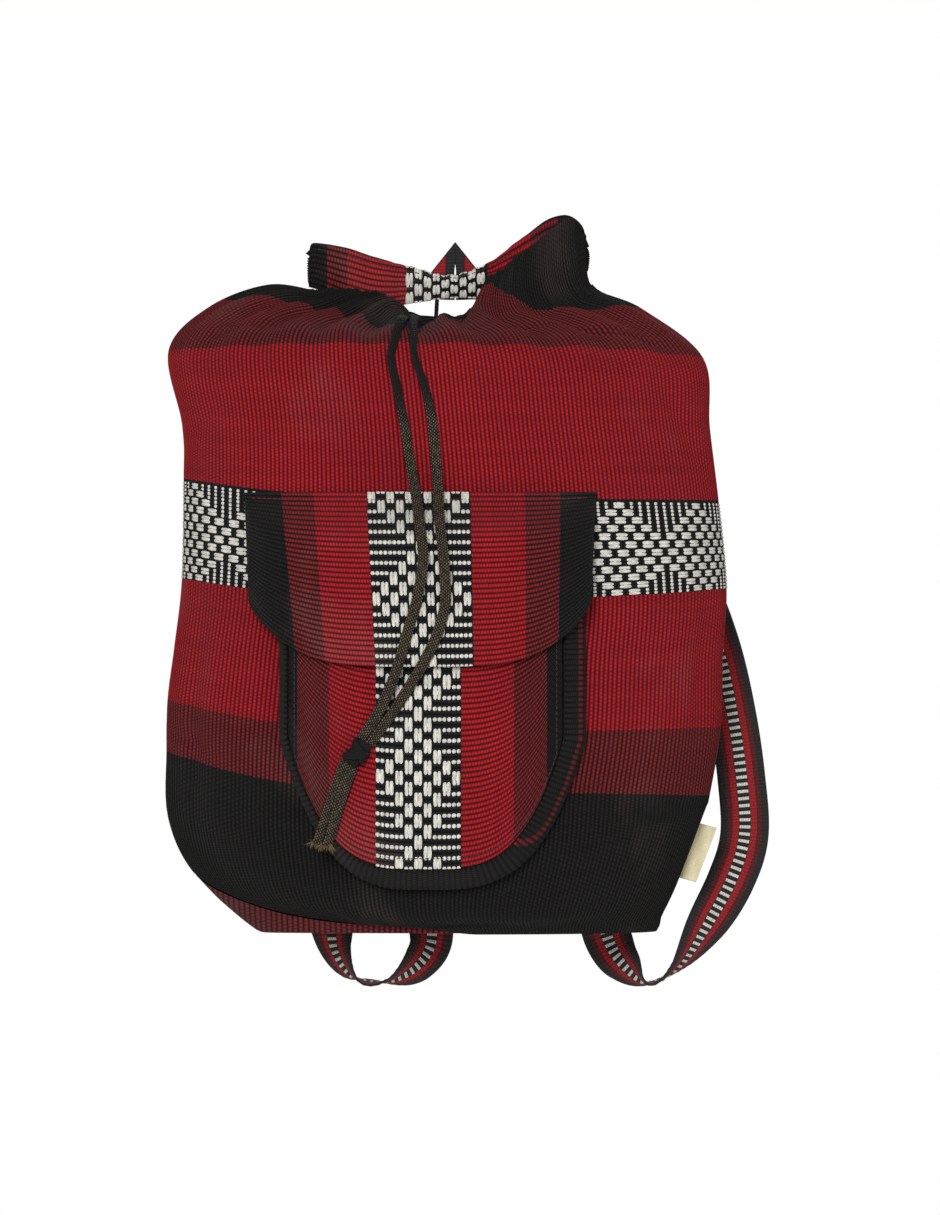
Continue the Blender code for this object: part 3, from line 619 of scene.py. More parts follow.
def panel(name, node, side, ribs, rows):
    shares = np.linspace(0.0, 1.0, ribs * PER_RIB + 1)
    places = [np.linspace(i, i + 1, n, endpoint=False) for i, n in enumerate(rows)]
    places = np.append(np.concatenate(places), float(len(rows)))
    upward = places[:, None]
    low = base_seam(shares) + 0.02
    climbing = low + (LOWER_BLACK - low) * upward / LOWER_BLACK
    levels = np.where(upward >= LOWER_BLACK, upward, climbing)
    grid = cloth_at(cloth_table(side, shares, SEAM_INSET), levels)
    normal = -side * outward(grid)
    seam = smoothstep(0.0, 0.006, shares) * smoothstep(0.0, 0.006, 1 - shares)
    base = smoothstep(0.0, 0.05, upward)
    folds = body_folds(shares, levels, side)
    lift = folds + RIB_HEIGHT * ridges(np.arange(len(shares)) / PER_RIB)
    lift = lift * seam * base - SIDE_GROOVE * (1 - seam) - BASE_GROOVE * (1 - base)
    smooth = grid + normal * (folds * seam)[..., None]
    grid = grid + normal * lift[..., None]
    cover = (1 - smoothstep(0.0, 0.35, upward)) * smoothstep(0.38, 0.55, shares)
    grid[..., 2] -= COVER_DROP * cover
    grid = grid + normal * (COVER_OUT * cover)[..., None]
    rim, inward = grid[-1], -normal[-1] * CLOTH
    turn = np.linspace(0.0, math.pi, 6)[1:]
    rolled = [rim + UP * CLOTH / 2 * math.sin(a) + inward * (1 - math.cos(a)) / 2 for a in turn]
    rolled += [rim + inward - UP * HEM * share for share in (0.25, 0.6, 1.0)]
    grid = np.concatenate([grid, np.array(rolled)])
    levels = np.concatenate([levels, np.repeat(levels[-1:], len(rolled), axis=0)])
    up_way = running(np.linalg.norm(np.diff(grid, axis=0), axis=2).mean(axis=1))
    weave = joined(shares * ribs, up_way[:, None] / DOT_PITCH)
    if side == FRONT:
        border = np.interp(shares, BORDER_AT, BORDER_LEVEL)
        below = UPPER_MIX + (levels - UPPER_MIX) / (border - UPPER_MIX)
        above = UPPER_BLACK + (levels - border) / (RIM + 0.1 - border) * (RIM - UPPER_BLACK)
        shown = np.where(levels < border, below, above)
        levels = np.where(levels < UPPER_MIX, levels, shown)
    stripe = joined(levels / TOP_LEVEL, shares)
    if side == BACK:
        grid, weave, stripe = grid[:, ::-1], weave[:, ::-1], stripe[:, ::-1]
    obj = grid_object(name, grid, {"weave": weave, "stripe": stripe}, body_cloth)
    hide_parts(node)
    print(name, len(obj.data.polygons), "faces")
    return smooth, places, shares


front_smooth, *front_at = panel("front_cloth", "front_panel", FRONT, FRONT_RIBS, FRONT_ROWS)
back_smooth, *back_at = panel("back_cloth", "back_panel", BACK, BACK_RIBS, BACK_ROWS)

# %% [markdown]
# Inside each side seam the turned-in edges of both panels lie together as a narrow tape. It is made
# from the same cloth, a little inside the groove, so that no light comes through the seam.

# %% Seam tapes
TAPE_HALF, TAPE_INSET, TAPE_CURVE = 0.0070, 0.0016, 0.0022


def seam_tape(name, end):
    levels = np.linspace(0.05, SHOULDER - 0.1, 133)
    line = np.array([ring(level, FRONT)[0][end] for level in levels])
    wide = np.linspace(-1.0, 1.0, 9)
    inward = (1.0 if end == 0 else -1.0) * (TAPE_INSET + TAPE_CURVE * wide**2)
    grid = line[:, None] + joined(inward, wide * TAPE_HALF, 0.0)
    upward, ribs = levels[:, None], wide * 2.5
    uvs = {"weave": joined(ribs, upward * 15), "stripe": joined(upward / TOP_LEVEL, ribs)}
    if end == 0:
        grid = grid[:, ::-1]
    return grid_object(name, grid, uvs, body_cloth, 0.0008)


for name, end in (("seam_tape_left", 0), ("seam_tape_right", -1)):
    print(name, len(seam_tape(name, end).data.polygons), "faces")

# %% [markdown]
# The base is one round of darker cloth. It climbs to the panels' seam, which rises round the lower
# left corner, then rolls under to a flat underside.

# %% Base panel
BASE_RIB = 0.0035
BASE_EDGE, BASE_FLAT, BASE_BELLY = 0.985, 0.925, 0.02


def make_base():
    shares = np.linspace(0.0, 1.0, 161)
    sides = [(FRONT, shares[:-1]), (BACK, shares[:0:-1])]
    seam, brim = [], []
    for side, run in sides:
        table = cloth_table(side, run, 0.0)
        seam.append(cloth_at(table, base_seam(run)[None, :])[0])
        brim.append(table[0])
    seam, brim = np.concatenate(seam), np.concatenate(brim) * (1, 1, 0)
    climb = base_seam(np.concatenate([run for _, run in sides]))[:, None]
    centre = brim.mean(axis=0)
    edge = centre + (brim - centre) * BASE_EDGE
    flat = centre + (brim - centre) * BASE_FLAT
    middle = (edge + seam) / 2 + climb * BASE_BELLY * (seam - centre)
    profile = np.array([seam - (0, 0, 0.0002), middle, edge, flat])
    rows = [through(profile, at) for at in np.linspace(0, 3, 22)]
    shrink = (0.9, 0.75, 0.6, 0.45, 0.3, 0.15, 0.004)
    grid = np.array(rows + [centre + (flat - centre) * share for share in shrink])[::-1]
    grid = np.concatenate([grid, grid[:, :1]], axis=1)
    upright = (np.arange(len(grid)) > len(shrink) + 4)[:, None]
    rise = np.where(upright, grid[..., 2], grid[..., 1])
    weave = joined(grid[..., 0] / BASE_RIB, rise / DOT_PITCH)
    uvs = {"weave": weave, "stripe": np.full_like(weave, 0.5)}
    obj = grid_object("base_cloth", grid, uvs, base_cloth)
    weld(obj, 0.00005)
    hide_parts("base_panel")
    print("base_cloth", len(obj.data.polygons), "faces")
    return grid


base_grid = make_base()

# %% [markdown]
# ## White threads of the patterned band
#
# In the band white and black warp threads alternate. White dots lie on every second rib. Where the
# weaver picks threads up, a pair of them floats over three ribs, and pairs side by side float in
# turn, like bricks. The floats fill diamonds and leave triangles of dots at the band's edges. Each
# float or dot is a small raised strip laid on the cloth.

# %% Raised threads
class Reader:
    """A grid of places read between its rows and columns, with its outward normal."""

    def __init__(self, grid, rows, columns, way=1):
        self.grid, self.rows, self.columns = grid, np.asarray(rows), np.asarray(columns)
        self.normal = outward(grid) * way

    def __call__(self, row, column):
        r = np.interp(row, self.rows, np.arange(len(self.rows)))
        c = np.interp(column, self.columns, np.arange(len(self.columns)))
        r0 = np.minimum(r.astype(int), len(self.rows) - 2)
        c0 = np.minimum(c.astype(int), len(self.columns) - 2)
        fr, fc = (r - r0)[..., None], (c - c0)[..., None]
        made = []
        for values in (self.grid, self.normal):
            low = values[r0, c0] * (1 - fc) + values[r0, c0 + 1] * fc
            high = values[r0 + 1, c0] * (1 - fc) + values[r0 + 1, c0 + 1] * fc
            made.append(low * (1 - fr) + high * fr)
        return made


FLOAT_HALF, DOT_HALF = 1.42, 0.42
THREAD_HALF, PAIR_CLOSER = 0.43, 0.09
STRIP_ACROSS = np.linspace(-1.0, 1.0, 4)
STRIP_ALONG = np.linspace(-1.0, 1.0, 6)
STRIP_DOME = np.sqrt(1 - (STRIP_ACROSS * 0.96) ** 2)[:, None]


def diamond_limit(pick, period, phase):
    """How far from the band's middle line the floats reach, as a share of its half width."""
    turn = np.abs(((pick - phase) / period) % 1.0 - 0.5) * 2
    return 1.08 - 0.80 * (1 - turn)


def band_threads(threads, picks, period, phase):
    """The white strips of a band: (thread, middle pick, half length in picks)."""
    made = []
    for thread in range(threads):
        pair = thread // 2
        off = abs(2 * (pair * 2 + 1) / threads - 1)
        covered = set()
        for pick in range(1, picks, 2):
            wanted = off < diamond_limit(pick, period, phase)
            if wanted and ((pick - 1) // 2 + pair) % 2 == 0:
                made.append((thread, pick, FLOAT_HALF))
                covered |= {pick - 1, pick + 1}
        dots = (pick for pick in range(0, picks + 1, 2) if pick not in covered)
        made += [(thread, pick, DOT_HALF) for pick in dots]
    return np.array(made)


def band_object(name, place, threads, picks, period, phase, height=0.00105):
    """White strips laid by `place`, which turns (across 0 to 1, pick) into points and normals."""
    made = band_threads(threads, picks, period, phase)
    random.seed(len(made))
    wobble = np.array([[random.uniform(-1, 1) for _ in range(3)] for _ in made])[..., None, None]
    thread, pick, half = made.T[..., None, None]
    end = np.abs(STRIP_ALONG) ** 2.6
    widths = THREAD_HALF * (1 - 0.42 * end) * (1 + 0.08 * wobble[:, 0])
    closer = np.where(half > 1, PAIR_CLOSER * (1 - 2 * (thread % 2)), 0.0)
    across = (thread + 0.5 + closer + widths * STRIP_ACROSS[:, None]) / threads
    along = pick + half * (1 + 0.05 * wobble[:, 1]) * STRIP_ALONG
    along = np.clip(np.broadcast_to(along, across.shape), 0.02, picks - 0.02)
    points, normals = place(across, along)
    lift = 0.00012 + height * STRIP_DOME * (1 - end * 0.8) * (1 + 0.12 * wobble[:, 2])
    uv = joined(across * threads, along * 0.7)
    obj = strips_object(name, points + normals * lift[..., None], uv, white_thread)
    print(name, len(made))


front_reader = Reader(front_smooth, *front_at)
back_reader = Reader(back_smooth, *back_at, -1)


def front_band(across, pick):
    return front_reader(BAND_BOTTOM + across, pick / FRONT_RIBS)


def back_band(across, pick):
    return back_reader(BAND_BOTTOM + across, pick / BACK_RIBS)


band_object("front_band_threads", front_band, 24, FRONT_RIBS, 20, 11)
band_object("back_band_threads", back_band, 24, BACK_RIBS, 22, 5)

# %% [markdown]
# ## The pocket
#
# The pocket is cut from the same cloth turned upright, so its stripes stand and its ribs lie. Its
# front follows the bag's face at a distance, bulging in the middle; a gusset strip joins the two;
# a flap covers the way in. A ray through the bag's face tells how far each point must stand out.

# %% Places on the bag's face
class Surface:
    """A panel's outer face, asked for its y at a given x and height."""

    def __init__(self, grid, side):
        grid = grid[:, ::PER_RIB]
        rows, columns = grid.shape[:2]
        at = np.arange(rows * columns).reshape(rows, columns)
        faces = np.stack([at[:-1, :-1], at[:-1, 1:], at[1:, 1:], at[1:, :-1]], axis=-1)
        points = [Vector(p) for p in grid.reshape(-1, 3)]
        self.tree = BVHTree.FromPolygons(points, faces.reshape(-1, 4).tolist())
        self.side = side

    def y(self, x, height):
        hit = self.tree.ray_cast(Vector((x, self.side, height)), Vector((0, -self.side, 0)))[0]
        if hit is None:
            hit = self.tree.find_nearest(Vector((x, 0, height)))[0]
        return hit.y

    def ys(self, x, height):
        flat = [self.y(a, b) for a, b in zip(x.ravel(), height.ravel())]
        return np.array(flat).reshape(x.shape)


front_face = Surface(front_smooth, FRONT)
back_face = Surface(back_smooth, BACK)

POCKET_LEFT, POCKET_RIGHT = -0.107, 0.0695
POCKET_TOP, POCKET_LENGTH, POCKET_CORNER_DROP = 0.252, 0.208, 0.40
POCKET_MIDDLE, POCKET_HALF = (POCKET_LEFT + POCKET_RIGHT) / 2, (POCKET_RIGHT - POCKET_LEFT) / 2
POCKET_BULGE, POCKET_SWELL = 0.012, 0.006
GUSSET_DEPTH = 0.026
POCKET_DOT = 0.0019


def pocket_place(across, down):
    drop = POCKET_LENGTH * (1 - POCKET_CORNER_DROP * np.abs(across) ** 3.6)
    return POCKET_MIDDLE + POCKET_HALF * across, POCKET_TOP - drop * down


def pocket_reach(across, down):
    taper = 0.6 + 0.4 * smoothstep(0.0, 0.3, down)
    bulge = POCKET_BULGE + POCKET_SWELL * np.sin(math.pi * down)
    return GUSSET_DEPTH * taper + bulge * (1 - across * across)


def edge_roll(distance, depth=0.0011, reach=0.0028):
    """How far a sheet's face drops where its edge is turned under."""
    return -depth * (1 - smoothstep(0.0, reach, distance)) ** 1.5


def cloth_piece(name, node, smooth, lift, weave, stripe, material, thickness):
    """Raise a smooth grid by its ribs and rolled edges, and make it a sheet of cloth."""
    grid = smooth + outward(smooth) * lift[..., None]
    obj = grid_object(name, grid, {"weave": weave, "stripe": stripe}, material, thickness)
    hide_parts(node)
    print(name, len(obj.data.polygons), "faces")


# %% Pocket front
POCKET_RIBS, POCKET_THICKNESS = 61, 0.0018
# Where the white and black band starts and how wide it is, as shares of the pocket's width.
POCKET_BAND, POCKET_BAND_WIDTH = 0.320, 0.309
down, across = spread(POCKET_RIBS * PER_RIB + 1, 113, (1.0, 0.0), (-1.0, 1.0))
x, z = pocket_place(across, down)
slack = 0.0010 * np.sin(5.5 * across + 1) * np.sin(7 * down)
slack = (slack + 0.0006 * np.sin(11 * across - 9 * down)) * (1 - across**2)
pocket_smooth = joined(x, front_face.ys(x, z) - pocket_reach(across, down) - slack, z)
pocket_rows = np.arange(len(down)) / PER_RIB
rib = pocket_rows[:, None] + 0.35 * np.sin(2.2 * across) * np.sin(3 * down)
side = (1 - np.abs(across)) * POCKET_HALF
lift = RIB_HEIGHT * ridges(rib) * smoothstep(0, 0.002, side) + edge_roll(side)
lift = lift + edge_roll((1 - down) * POCKET_LENGTH)
# The places of the pocket's stripes, and the places of the same stripes in the cloth's list.
STRIPES_AT = (0.0, 0.033, 0.150, 0.320, 0.629, 0.816, 0.9375, 1.0)
STRIPES_READ = (0.08, 0.11, 0.20, 0.35, 0.64, 0.79, 0.89, 0.92)
stripe = joined(np.interp((across + 1) / 2, STRIPES_AT, STRIPES_READ), down)
weave = joined(rib, across * POCKET_HALF / POCKET_DOT)
finish = weave, stripe, upright_cloth, POCKET_THICKNESS
cloth_piece("pocket_cloth", "pocket_front", pocket_smooth, lift, *finish)
pocket_reader = Reader(pocket_smooth, pocket_rows, across[0])


def pocket_band(across_band, pick):
    return pocket_reader(pick, 2 * (POCKET_BAND + POCKET_BAND_WIDTH * across_band) - 1)


band_object("pocket_band_threads", pocket_band, 18, POCKET_RIBS, 21, 17)

# %% [markdown]
# The gusset runs down one side of the pocket, round the bottom and up the other side. It is widest
# at the bag, so the pocket stands on a flared foot. It is cut across a stripe, and so a dark red
# line shows along its middle on the right side only.

# %% Gusset
GUSSET_FLARE, GUSSET_BELLY, GUSSET_FOOT_GAP = 0.015, 0.003, 0.0016
GUSSET_STEPS, GUSSET_RIB, GUSSET_CUT, GUSSET_THICKNESS = 132, 0.0034, 0.03, 0.0016
side_run = [(-1.0, d) for d in np.linspace(0.0, 1.0, GUSSET_STEPS, endpoint=False)]
bottom_run = [(a, 1.0) for a in np.linspace(-1.0, 1.0, 2 * GUSSET_STEPS + 1)]
path = np.array(side_run + bottom_run + [(1.0, d) for _, d in reversed(side_run)])
edge = joined(*pocket_place(path[:, 0], path[:, 1]))
way = unit(np.gradient(edge, axis=0))
out = joined(way[:, 1], -way[:, 0])
for _ in range(6):
    out[1:-1] = (out[:-2] + 2 * out[1:-1] + out[2:]) / 4
rise = np.linspace(0.0, 1.0, 19)[:, None]
left_side = smoothstep(0.2, 0.9, -path[:, 0]) * smoothstep(0.1, 0.6, path[:, 1])
flare = GUSSET_FLARE * (1 - 0.75 * left_side) * (1 - rise)
flare = flare + 0.0012 * rise + GUSSET_BELLY * np.sin(math.pi * rise)
x, z = edge[:, 0] + out[:, 0] * flare, edge[:, 1] + out[:, 1] * flare
top = pocket_reach(path[:, 0], path[:, 1]) - 0.0006
reach = GUSSET_FOOT_GAP + (top - GUSSET_FOOT_GAP) * rise
gusset_smooth = joined(x, front_face.ys(x, z) - reach, z)
rib = way_along(edge) / GUSSET_RIB
lift = 0.0004 * ridges(rib) + edge_roll(rise * GUSSET_CUT, 0.0009, 0.004)
lift = lift + edge_roll((1 - rise) * GUSSET_CUT, 0.0004, 0.002)
weave = joined(rib, rise * GUSSET_CUT / POCKET_DOT)
stripe = joined(rise * 0.98 * smoothstep(0.5, 0.8, path[:, 0]) + 0.01, rise)
finish = weave, stripe, gusset_cloth, GUSSET_THICKNESS
cloth_piece("gusset_cloth", "pocket_gusset", gusset_smooth, lift, *finish)

# %% [markdown]
# The flap is sewn to the bag along its top edge and falls over the pocket. Its corners are cut
# round and its free edge lifts a little, because thick cloth doesn't lie flat. Its stripes lean a
# little to the right on their way down.

# %% Flap
FLAP_LEFT, FLAP_RIGHT, FLAP_TOP, FLAP_LENGTH = -0.137, 0.092, 0.285, 0.112
FLAP_CORNER_DROP, FLAP_CLEARANCE, FLAP_RISE = 0.36, 0.0035, 0.034
FLAP_MIDDLE, FLAP_HALF = (FLAP_LEFT + FLAP_RIGHT) / 2, (FLAP_RIGHT - FLAP_LEFT) / 2
FLAP_RIBS, FLAP_LEAN, FLAP_THICKNESS = 34, 0.040, 0.0018
FLAP_BAND, FLAP_BAND_WIDTH = 0.350, 0.290


def flap_lift(x, z, down):
    across = np.clip((x - POCKET_MIDDLE) / POCKET_HALF, -1.0, 1.0)
    pocket_down = np.clip((POCKET_TOP - z) / POCKET_LENGTH, 0.0, 1.0)
    beyond = np.maximum(np.maximum(POCKET_LEFT - x, x - POCKET_RIGHT), 0.0)
    spare = np.where(x < POCKET_MIDDLE, POCKET_LEFT - FLAP_LEFT, FLAP_RIGHT - POCKET_RIGHT)
    side = np.maximum(1 - (beyond / spare) ** 2.2, 0.0) ** 0.5
    over = pocket_reach(across, pocket_down) + CLOTH + FLAP_CLEARANCE
    return CLOTH + 0.0008 + over * side * smoothstep(0.0, FLAP_RISE, down * FLAP_LENGTH)


down, across = spread(FLAP_RIBS * PER_RIB + 1, 129, (1.0, 0.0), (-1.0, 1.0))
x = FLAP_MIDDLE + FLAP_HALF * across * (1 - 0.03 * down)
z = FLAP_TOP - FLAP_LENGTH * (1 - FLAP_CORNER_DROP * np.abs(across) ** 4) * down
slack = 0.0009 * np.sin(6 * across + 2) * np.sin(3.2 * down) * (1 - across**2)
flap_smooth = joined(x, front_face.ys(x, z) - flap_lift(x, z, down) - slack, z)
flap_rows = np.arange(len(down)) / PER_RIB
rib = flap_rows[:, None] + 0.5 * across**2 * down
side = (1 - np.abs(across)) * FLAP_HALF
lift = RIB_HEIGHT * ridges(rib) * smoothstep(0, 0.003, side) + edge_roll(side)
lift = lift + edge_roll((1 - down) * FLAP_LENGTH) + edge_roll(down * FLAP_LENGTH, 0.0008, 0.002)
share = (across + 1) / 2
stripe = joined((share - FLAP_LEAN * down * (1 - share)) * 0.99 + 0.005, down)
weave = joined(rib, across * FLAP_HALF / POCKET_DOT)
finish = weave, stripe, upright_cloth, FLAP_THICKNESS
cloth_piece("flap_cloth", "pocket_flap", flap_smooth, lift, *finish)
flap_reader = Reader(flap_smooth, flap_rows, across[0])


def flap_band(across_band, pick):
    lean = FLAP_LEAN * (1 - pick / FLAP_RIBS)
    place = FLAP_BAND + FLAP_BAND_WIDTH * across_band + lean
    return flap_reader(pick, 2 * place / (1 + lean) - 1)


band_object("flap_band_threads", flap_band, 22, FLAP_RIBS, 20, 12)

# %% [markdown]
# ## The rear casing and the hang loop
#
# Behind the mouth a doubled band of the same cloth, turned upright, runs from ear to ear. The cord
# inside draws it into fine pleats, closest in the middle where it sags. Its two edges are curves
# through nine heights each, in mm from the sag's height.

# %% Rear casing
CASING_LEFT, CASING_RIGHT, CASING_SAG = -0.096, 0.0865, 0.4300
CASING_TOP = np.array((21, 18, 11, 5, -0.5, 6, 22, 37.5, 39)) / 1000
CASING_BOTTOM = np.array((-9, -17, -22, -19, -15.5, -16, -20, -15, -1)) / 1000
CASING_END_Y, CASING_BOW = -0.0233, 0.0123
STITCHED_AT, CASING_THICKNESS = 0.0055, 0.0030
CASING_BAND, CASING_BAND_WIDTH = 0.345, 0.290


def corner(distance, reach, drop):
    """How far a rounded corner lowers the edge at a distance from the end."""
    return drop * (1 - np.sqrt(1 - np.clip(1 - distance / reach, 0, 1) ** 2))


height, share = spread(49, 241)
x = CASING_LEFT + (CASING_RIGHT - CASING_LEFT) * share
low, high = through(CASING_BOTTOM, share * 8), through(CASING_TOP, share * 8)
high = high - corner(share, 0.025, 0.004) - corner(1 - share, 0.09, 0.017)
middle = 1 - (2 * share - 1) ** 2
pleat = np.cos(2 * math.pi * 9 * share) * middle * (0.5 + 0.5 * height)
fine = np.sin(2 * math.pi * 24 * share + 2.5 * np.sin(6 * share))
fine = fine * np.exp(-(((share - 0.5) / 0.16) ** 2))
belly = np.sin(math.pi * height) * 0.002
y = CASING_END_Y + CASING_BOW * middle + 0.0016 * pleat - belly + 0.0008 * fine
z = CASING_SAG + low + (high - low) * height + 0.0006 * fine * height
casing_smooth = joined(x, y, z)
rib = 16 * height + 0.6 * np.sin(9 * share)
rim, foot = (1 - height) * (high - low), height * (high - low)
lift = 0.0003 * ridges(rib) + edge_roll(rim, 0.0012, 0.003) + edge_roll(foot, 0.0010, 0.003)
lift = lift - 0.0006 * np.exp(-(((rim - STITCHED_AT) / 0.0007) ** 2))
stripe = np.interp(share, (0, 0.062, 0.133, CASING_BAND, 1), (0.005, 0.11, 0.20, 0.345, 0.995))
stripe, weave = joined(stripe, height), joined(rib * 0.55, x / POCKET_DOT)
finish = weave, stripe, upright_cloth, CASING_THICKNESS
cloth_piece("casing_cloth", "rear_casing", casing_smooth, lift, *finish)
casing_reader = Reader(casing_smooth, np.linspace(0, 8, len(share)), share[0])


def casing_band(across_band, pick):
    return casing_reader(pick, CASING_BAND + CASING_BAND_WIDTH * across_band)


band_object("casing_band_threads", casing_band, 18, 8, 30, 4, 0.0008)

# %% [markdown]
# ## Webbing
#
# The straps are narrow woven webbing: black edges, red bands and a ladder of white bars down the
# middle of both faces. A strap is a sweep: a flat section carried along a smooth route and turned
# as it goes, so it can lie on the back, swing free and twist at the bottom.

# %% Webbing material
WEBBING_PICK = 0.0022
WEBBING_AT = (0.0, 0.15, 0.25, 0.375, 0.625, 0.75, 0.85)


def webbing_material():
    s = Shader("webbing", 0.88, Sheen_Weight=0.03)
    across, along = s.uv("webbing")
    edge, dark = linear(30, 27, 27), linear(74, 14, 20)
    red, core = linear(138, 14, 22), linear(26, 24, 27)
    stops = list(zip(WEBBING_AT, (edge, dark, red, core, red, dark, edge)))
    stripes = s.ramp(across, stops, hard=True)
    pick = s.mul(along, 1 / WEBBING_PICK)
    bead = s.hump(s.add(s.mul(across, 17.0), s.stagger(pick)), 2.2)
    height = s.mul(s.hump(pick), s.add(0.4, s.mul(bead, 0.6)))
    fibre = s.noise(across, 60.0, along, 900.0)
    # Painted shade in the hollows between picks and beads, with fibre noise for the yarn's own
    # tone.
    shade = s.add(0.55, s.mul(s.add(height, fibre), 0.55))
    return s.finish(s.darkened(stripes, shade), height, 0.0006)


webbing_cloth = webbing_material()

# %% Sweep a section along a route
def sweep(name, middle, across, wide, deep, material, layer, start=0.0):
    """wide and deep are the section's sideways and outward places, at each point of the route."""
    tangent = unit(np.gradient(middle, axis=0))
    across = unit(across - tangent * np.sum(across * tangent, axis=1, keepdims=True))
    facing = np.cross(tangent, across)
    along = way_along(middle)
    grid = middle[:, None] + across[:, None] * wide[..., None] + facing[:, None] * deep[..., None]
    ends = [np.broadcast_to(grid[i].mean(axis=0), grid[:1].shape) for i in (0, -1)]
    grid = np.concatenate([ends[0], grid, ends[1]])
    along = np.concatenate([[0.0], along, along[-1:]])
    wide = np.concatenate([wide[:1], wide, wide[-1:]])
    grid, wide = (np.concatenate([v, v[:, :1]], axis=1) for v in (grid, wide))
    share = np.clip(wide / (np.abs(wide).max() * 2) + 0.5, 0.002, 0.998)
    obj = grid_object(name, grid, {layer: joined(share, along[:, None] + start)}, material)
    weld(obj, 0.000004)
    return obj, along[-1], (middle, across, facing)


# %% [markdown]
# The routes' points say where the middle line runs and which way the width points. Points on the
# back are given as a distance from the panel, so the strap lies on whatever shape the panel has.

# %% Straps
STRAP_WIDTH, STRAP_THICKNESS = 0.032, 0.0018
FREE, ON_BACK = 0, 1
# Each point: how it is held, its x, y and height in mm, and the direction of the width.
RIGHT_STRAP_ROUTE = (
    (ON_BACK, 19, 1.1, 366, 1, 0, 0),
    (ON_BACK, 26, 3, 346, 1, 0, 0.4),
    (ON_BACK, 56, 4, 318, 0.9, 0, 0.5),
    (ON_BACK, 96, 4, 290, 0.8, 0, 0.6),
    (ON_BACK, 132, 6, 258, 0.8, 0, 0.5),
    (FREE, 157, 12, 225, 1, 0.1, 0.3),
    (FREE, 173, 6, 185, 1, 0.2, 0.15),
    (FREE, 183, 1, 140, 1, 0.1, 0),
    (FREE, 189, -1, 98, 1, 0.1, 0),
    (FREE, 191, 0, 60, 1, 0, 0),
    (FREE, 182, 1, 30, 1, 0.1, 0.3),
    (FREE, 165, 3, -1, 1, 0.3, 0.5),
    (FREE, 148, 7, -26, 0.7, 0.8, 0.3),
    (FREE, 129, 10, -38, 0.0, 1, 0.0),
    (FREE, 112, 13, -26, -0.7, 0.7, -0.5),
    (FREE, 101, 15, -8, -1, 0.2, -0.5),
    (ON_BACK, 94, 0.8, 20, -1, 0, 0),
)
LEFT_STRAP_ROUTE = (
    (ON_BACK, -19, 1.1, 366, 1, 0, 0),
    (ON_BACK, -27, 3.4, 344, 1, 0, -0.4),
    (ON_BACK, -60, 5.5, 305, 0.9, 0, -0.5),
    (ON_BACK, -98, 6.5, 256, 1, 0, -0.3),
    (ON_BACK, -108, 7, 200, 1, 0, 0.1),
    (ON_BACK, -90, 5, 142, 1, 0, 0.4),
    (ON_BACK, -56, 5, 86, 1, 0, 0.5),
    (ON_BACK, -28, 6, 36, 1, 0.1, 0.3),
    (FREE, -16, 20, -4, 1, 0.4, -0.2),
    (FREE, -24, 17, -25, 0.7, 0.8, -0.6),
    (FREE, -45, 14, -37, 0.1, 1, -0.1),
    (FREE, -66, 14, -35, -0.5, 1, 0.2),
    (FREE, -80, 15, -14, -0.8, 0.7, 0.1),
    (ON_BACK, -83, 1.8, 20, -1, 0, 0),
)


def laid_on_back(route):
    """The route's points and the width's directions, with the points on the back laid on it."""
    centres, turns = np.array(route, float)[:, 1:4] / 1000, np.array(route, float)[:, 4:]
    near = 0.005
    for (held, *_), centre, turn in zip(route, centres, turns):
        if held == ON_BACK:
            x, _, height = centre
            slope = back_face.y(x + near, height) - back_face.y(x - near, height)
            centre[1] += back_face.y(x, height) + STRAP_THICKNESS / 2
            turn[1] += slope / (2 * near) * turn[0]
    return centres, turns


def strap(name, route):
    centres, turns = laid_on_back(route)
    places, way = even_places(centres, 400, 0.0011)
    side = np.linspace(-0.5, 0.5, 21)
    face = STRAP_THICKNESS / 2 * (1 - np.abs(2 * side) ** 8) ** 0.5
    rib = 0.00016 * np.sin(way * 2 * math.pi / (2 * WEBBING_PICK))[:, None]
    deep = np.concatenate([face, -face[-2:0:-1]]) * (1 + rib / 0.0009)
    wide = np.broadcast_to(np.concatenate([side, side[-2:0:-1]]) * STRAP_WIDTH, deep.shape)
    middle, across = through(centres, places), through(turns, places)
    return sweep(name, middle, across, wide, deep, webbing_cloth, "webbing")


def ladder(name, line, length):
    """White bars across the middle of both faces, each of five short threads side by side."""
    middle, across, facing = line
    reach = way_along(middle)
    bars = np.arange(0.006, length - 0.004, 0.0047)
    spots = np.meshgrid(bars, np.linspace(-0.0029, 0.0029, 5), (-1.0, 1.0), indexing="ij")
    bar, thread, face = (v.ravel()[:, None, None] for v in spots)
    side = thread + 0.00068 * STRIP_ACROSS[:, None] * face
    along, side = np.broadcast_arrays(bar + 0.00100 * STRIP_ALONG, side)
    at, sideways, out = (read_along(along, reach, v) for v in (middle, across, facing))
    dome = STRIP_DOME * (1 - 0.7 * STRIP_ALONG**4)
    lift = face * (STRAP_THICKNESS / 2 + 0.0001 + 0.00055 * dome)
    points = at + sideways * side[..., None] + out * lift[..., None]
    strips_object(name, points, joined(side / 0.0014, along / 0.002), white_thread)


strap_lines = {}
for name, route in (("right", RIGHT_STRAP_ROUTE), ("left", LEFT_STRAP_ROUTE)):
    made, length, line = strap(f"webbing_{name}", route)
    strap_lines[name] = line
    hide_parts(f"strap_{name}")
    ladder(f"webbing_{name}_ladder", line, length)
    print(name, "strap", round(length, 3), "m,", len(made.data.polygons), "faces")

# %% [markdown]
# The hang loop is the same webbing, folded to a point so that its two legs lie side by side. Their
# black edges meet in the middle, with a slit for the hook, and the legs go down behind the casing.

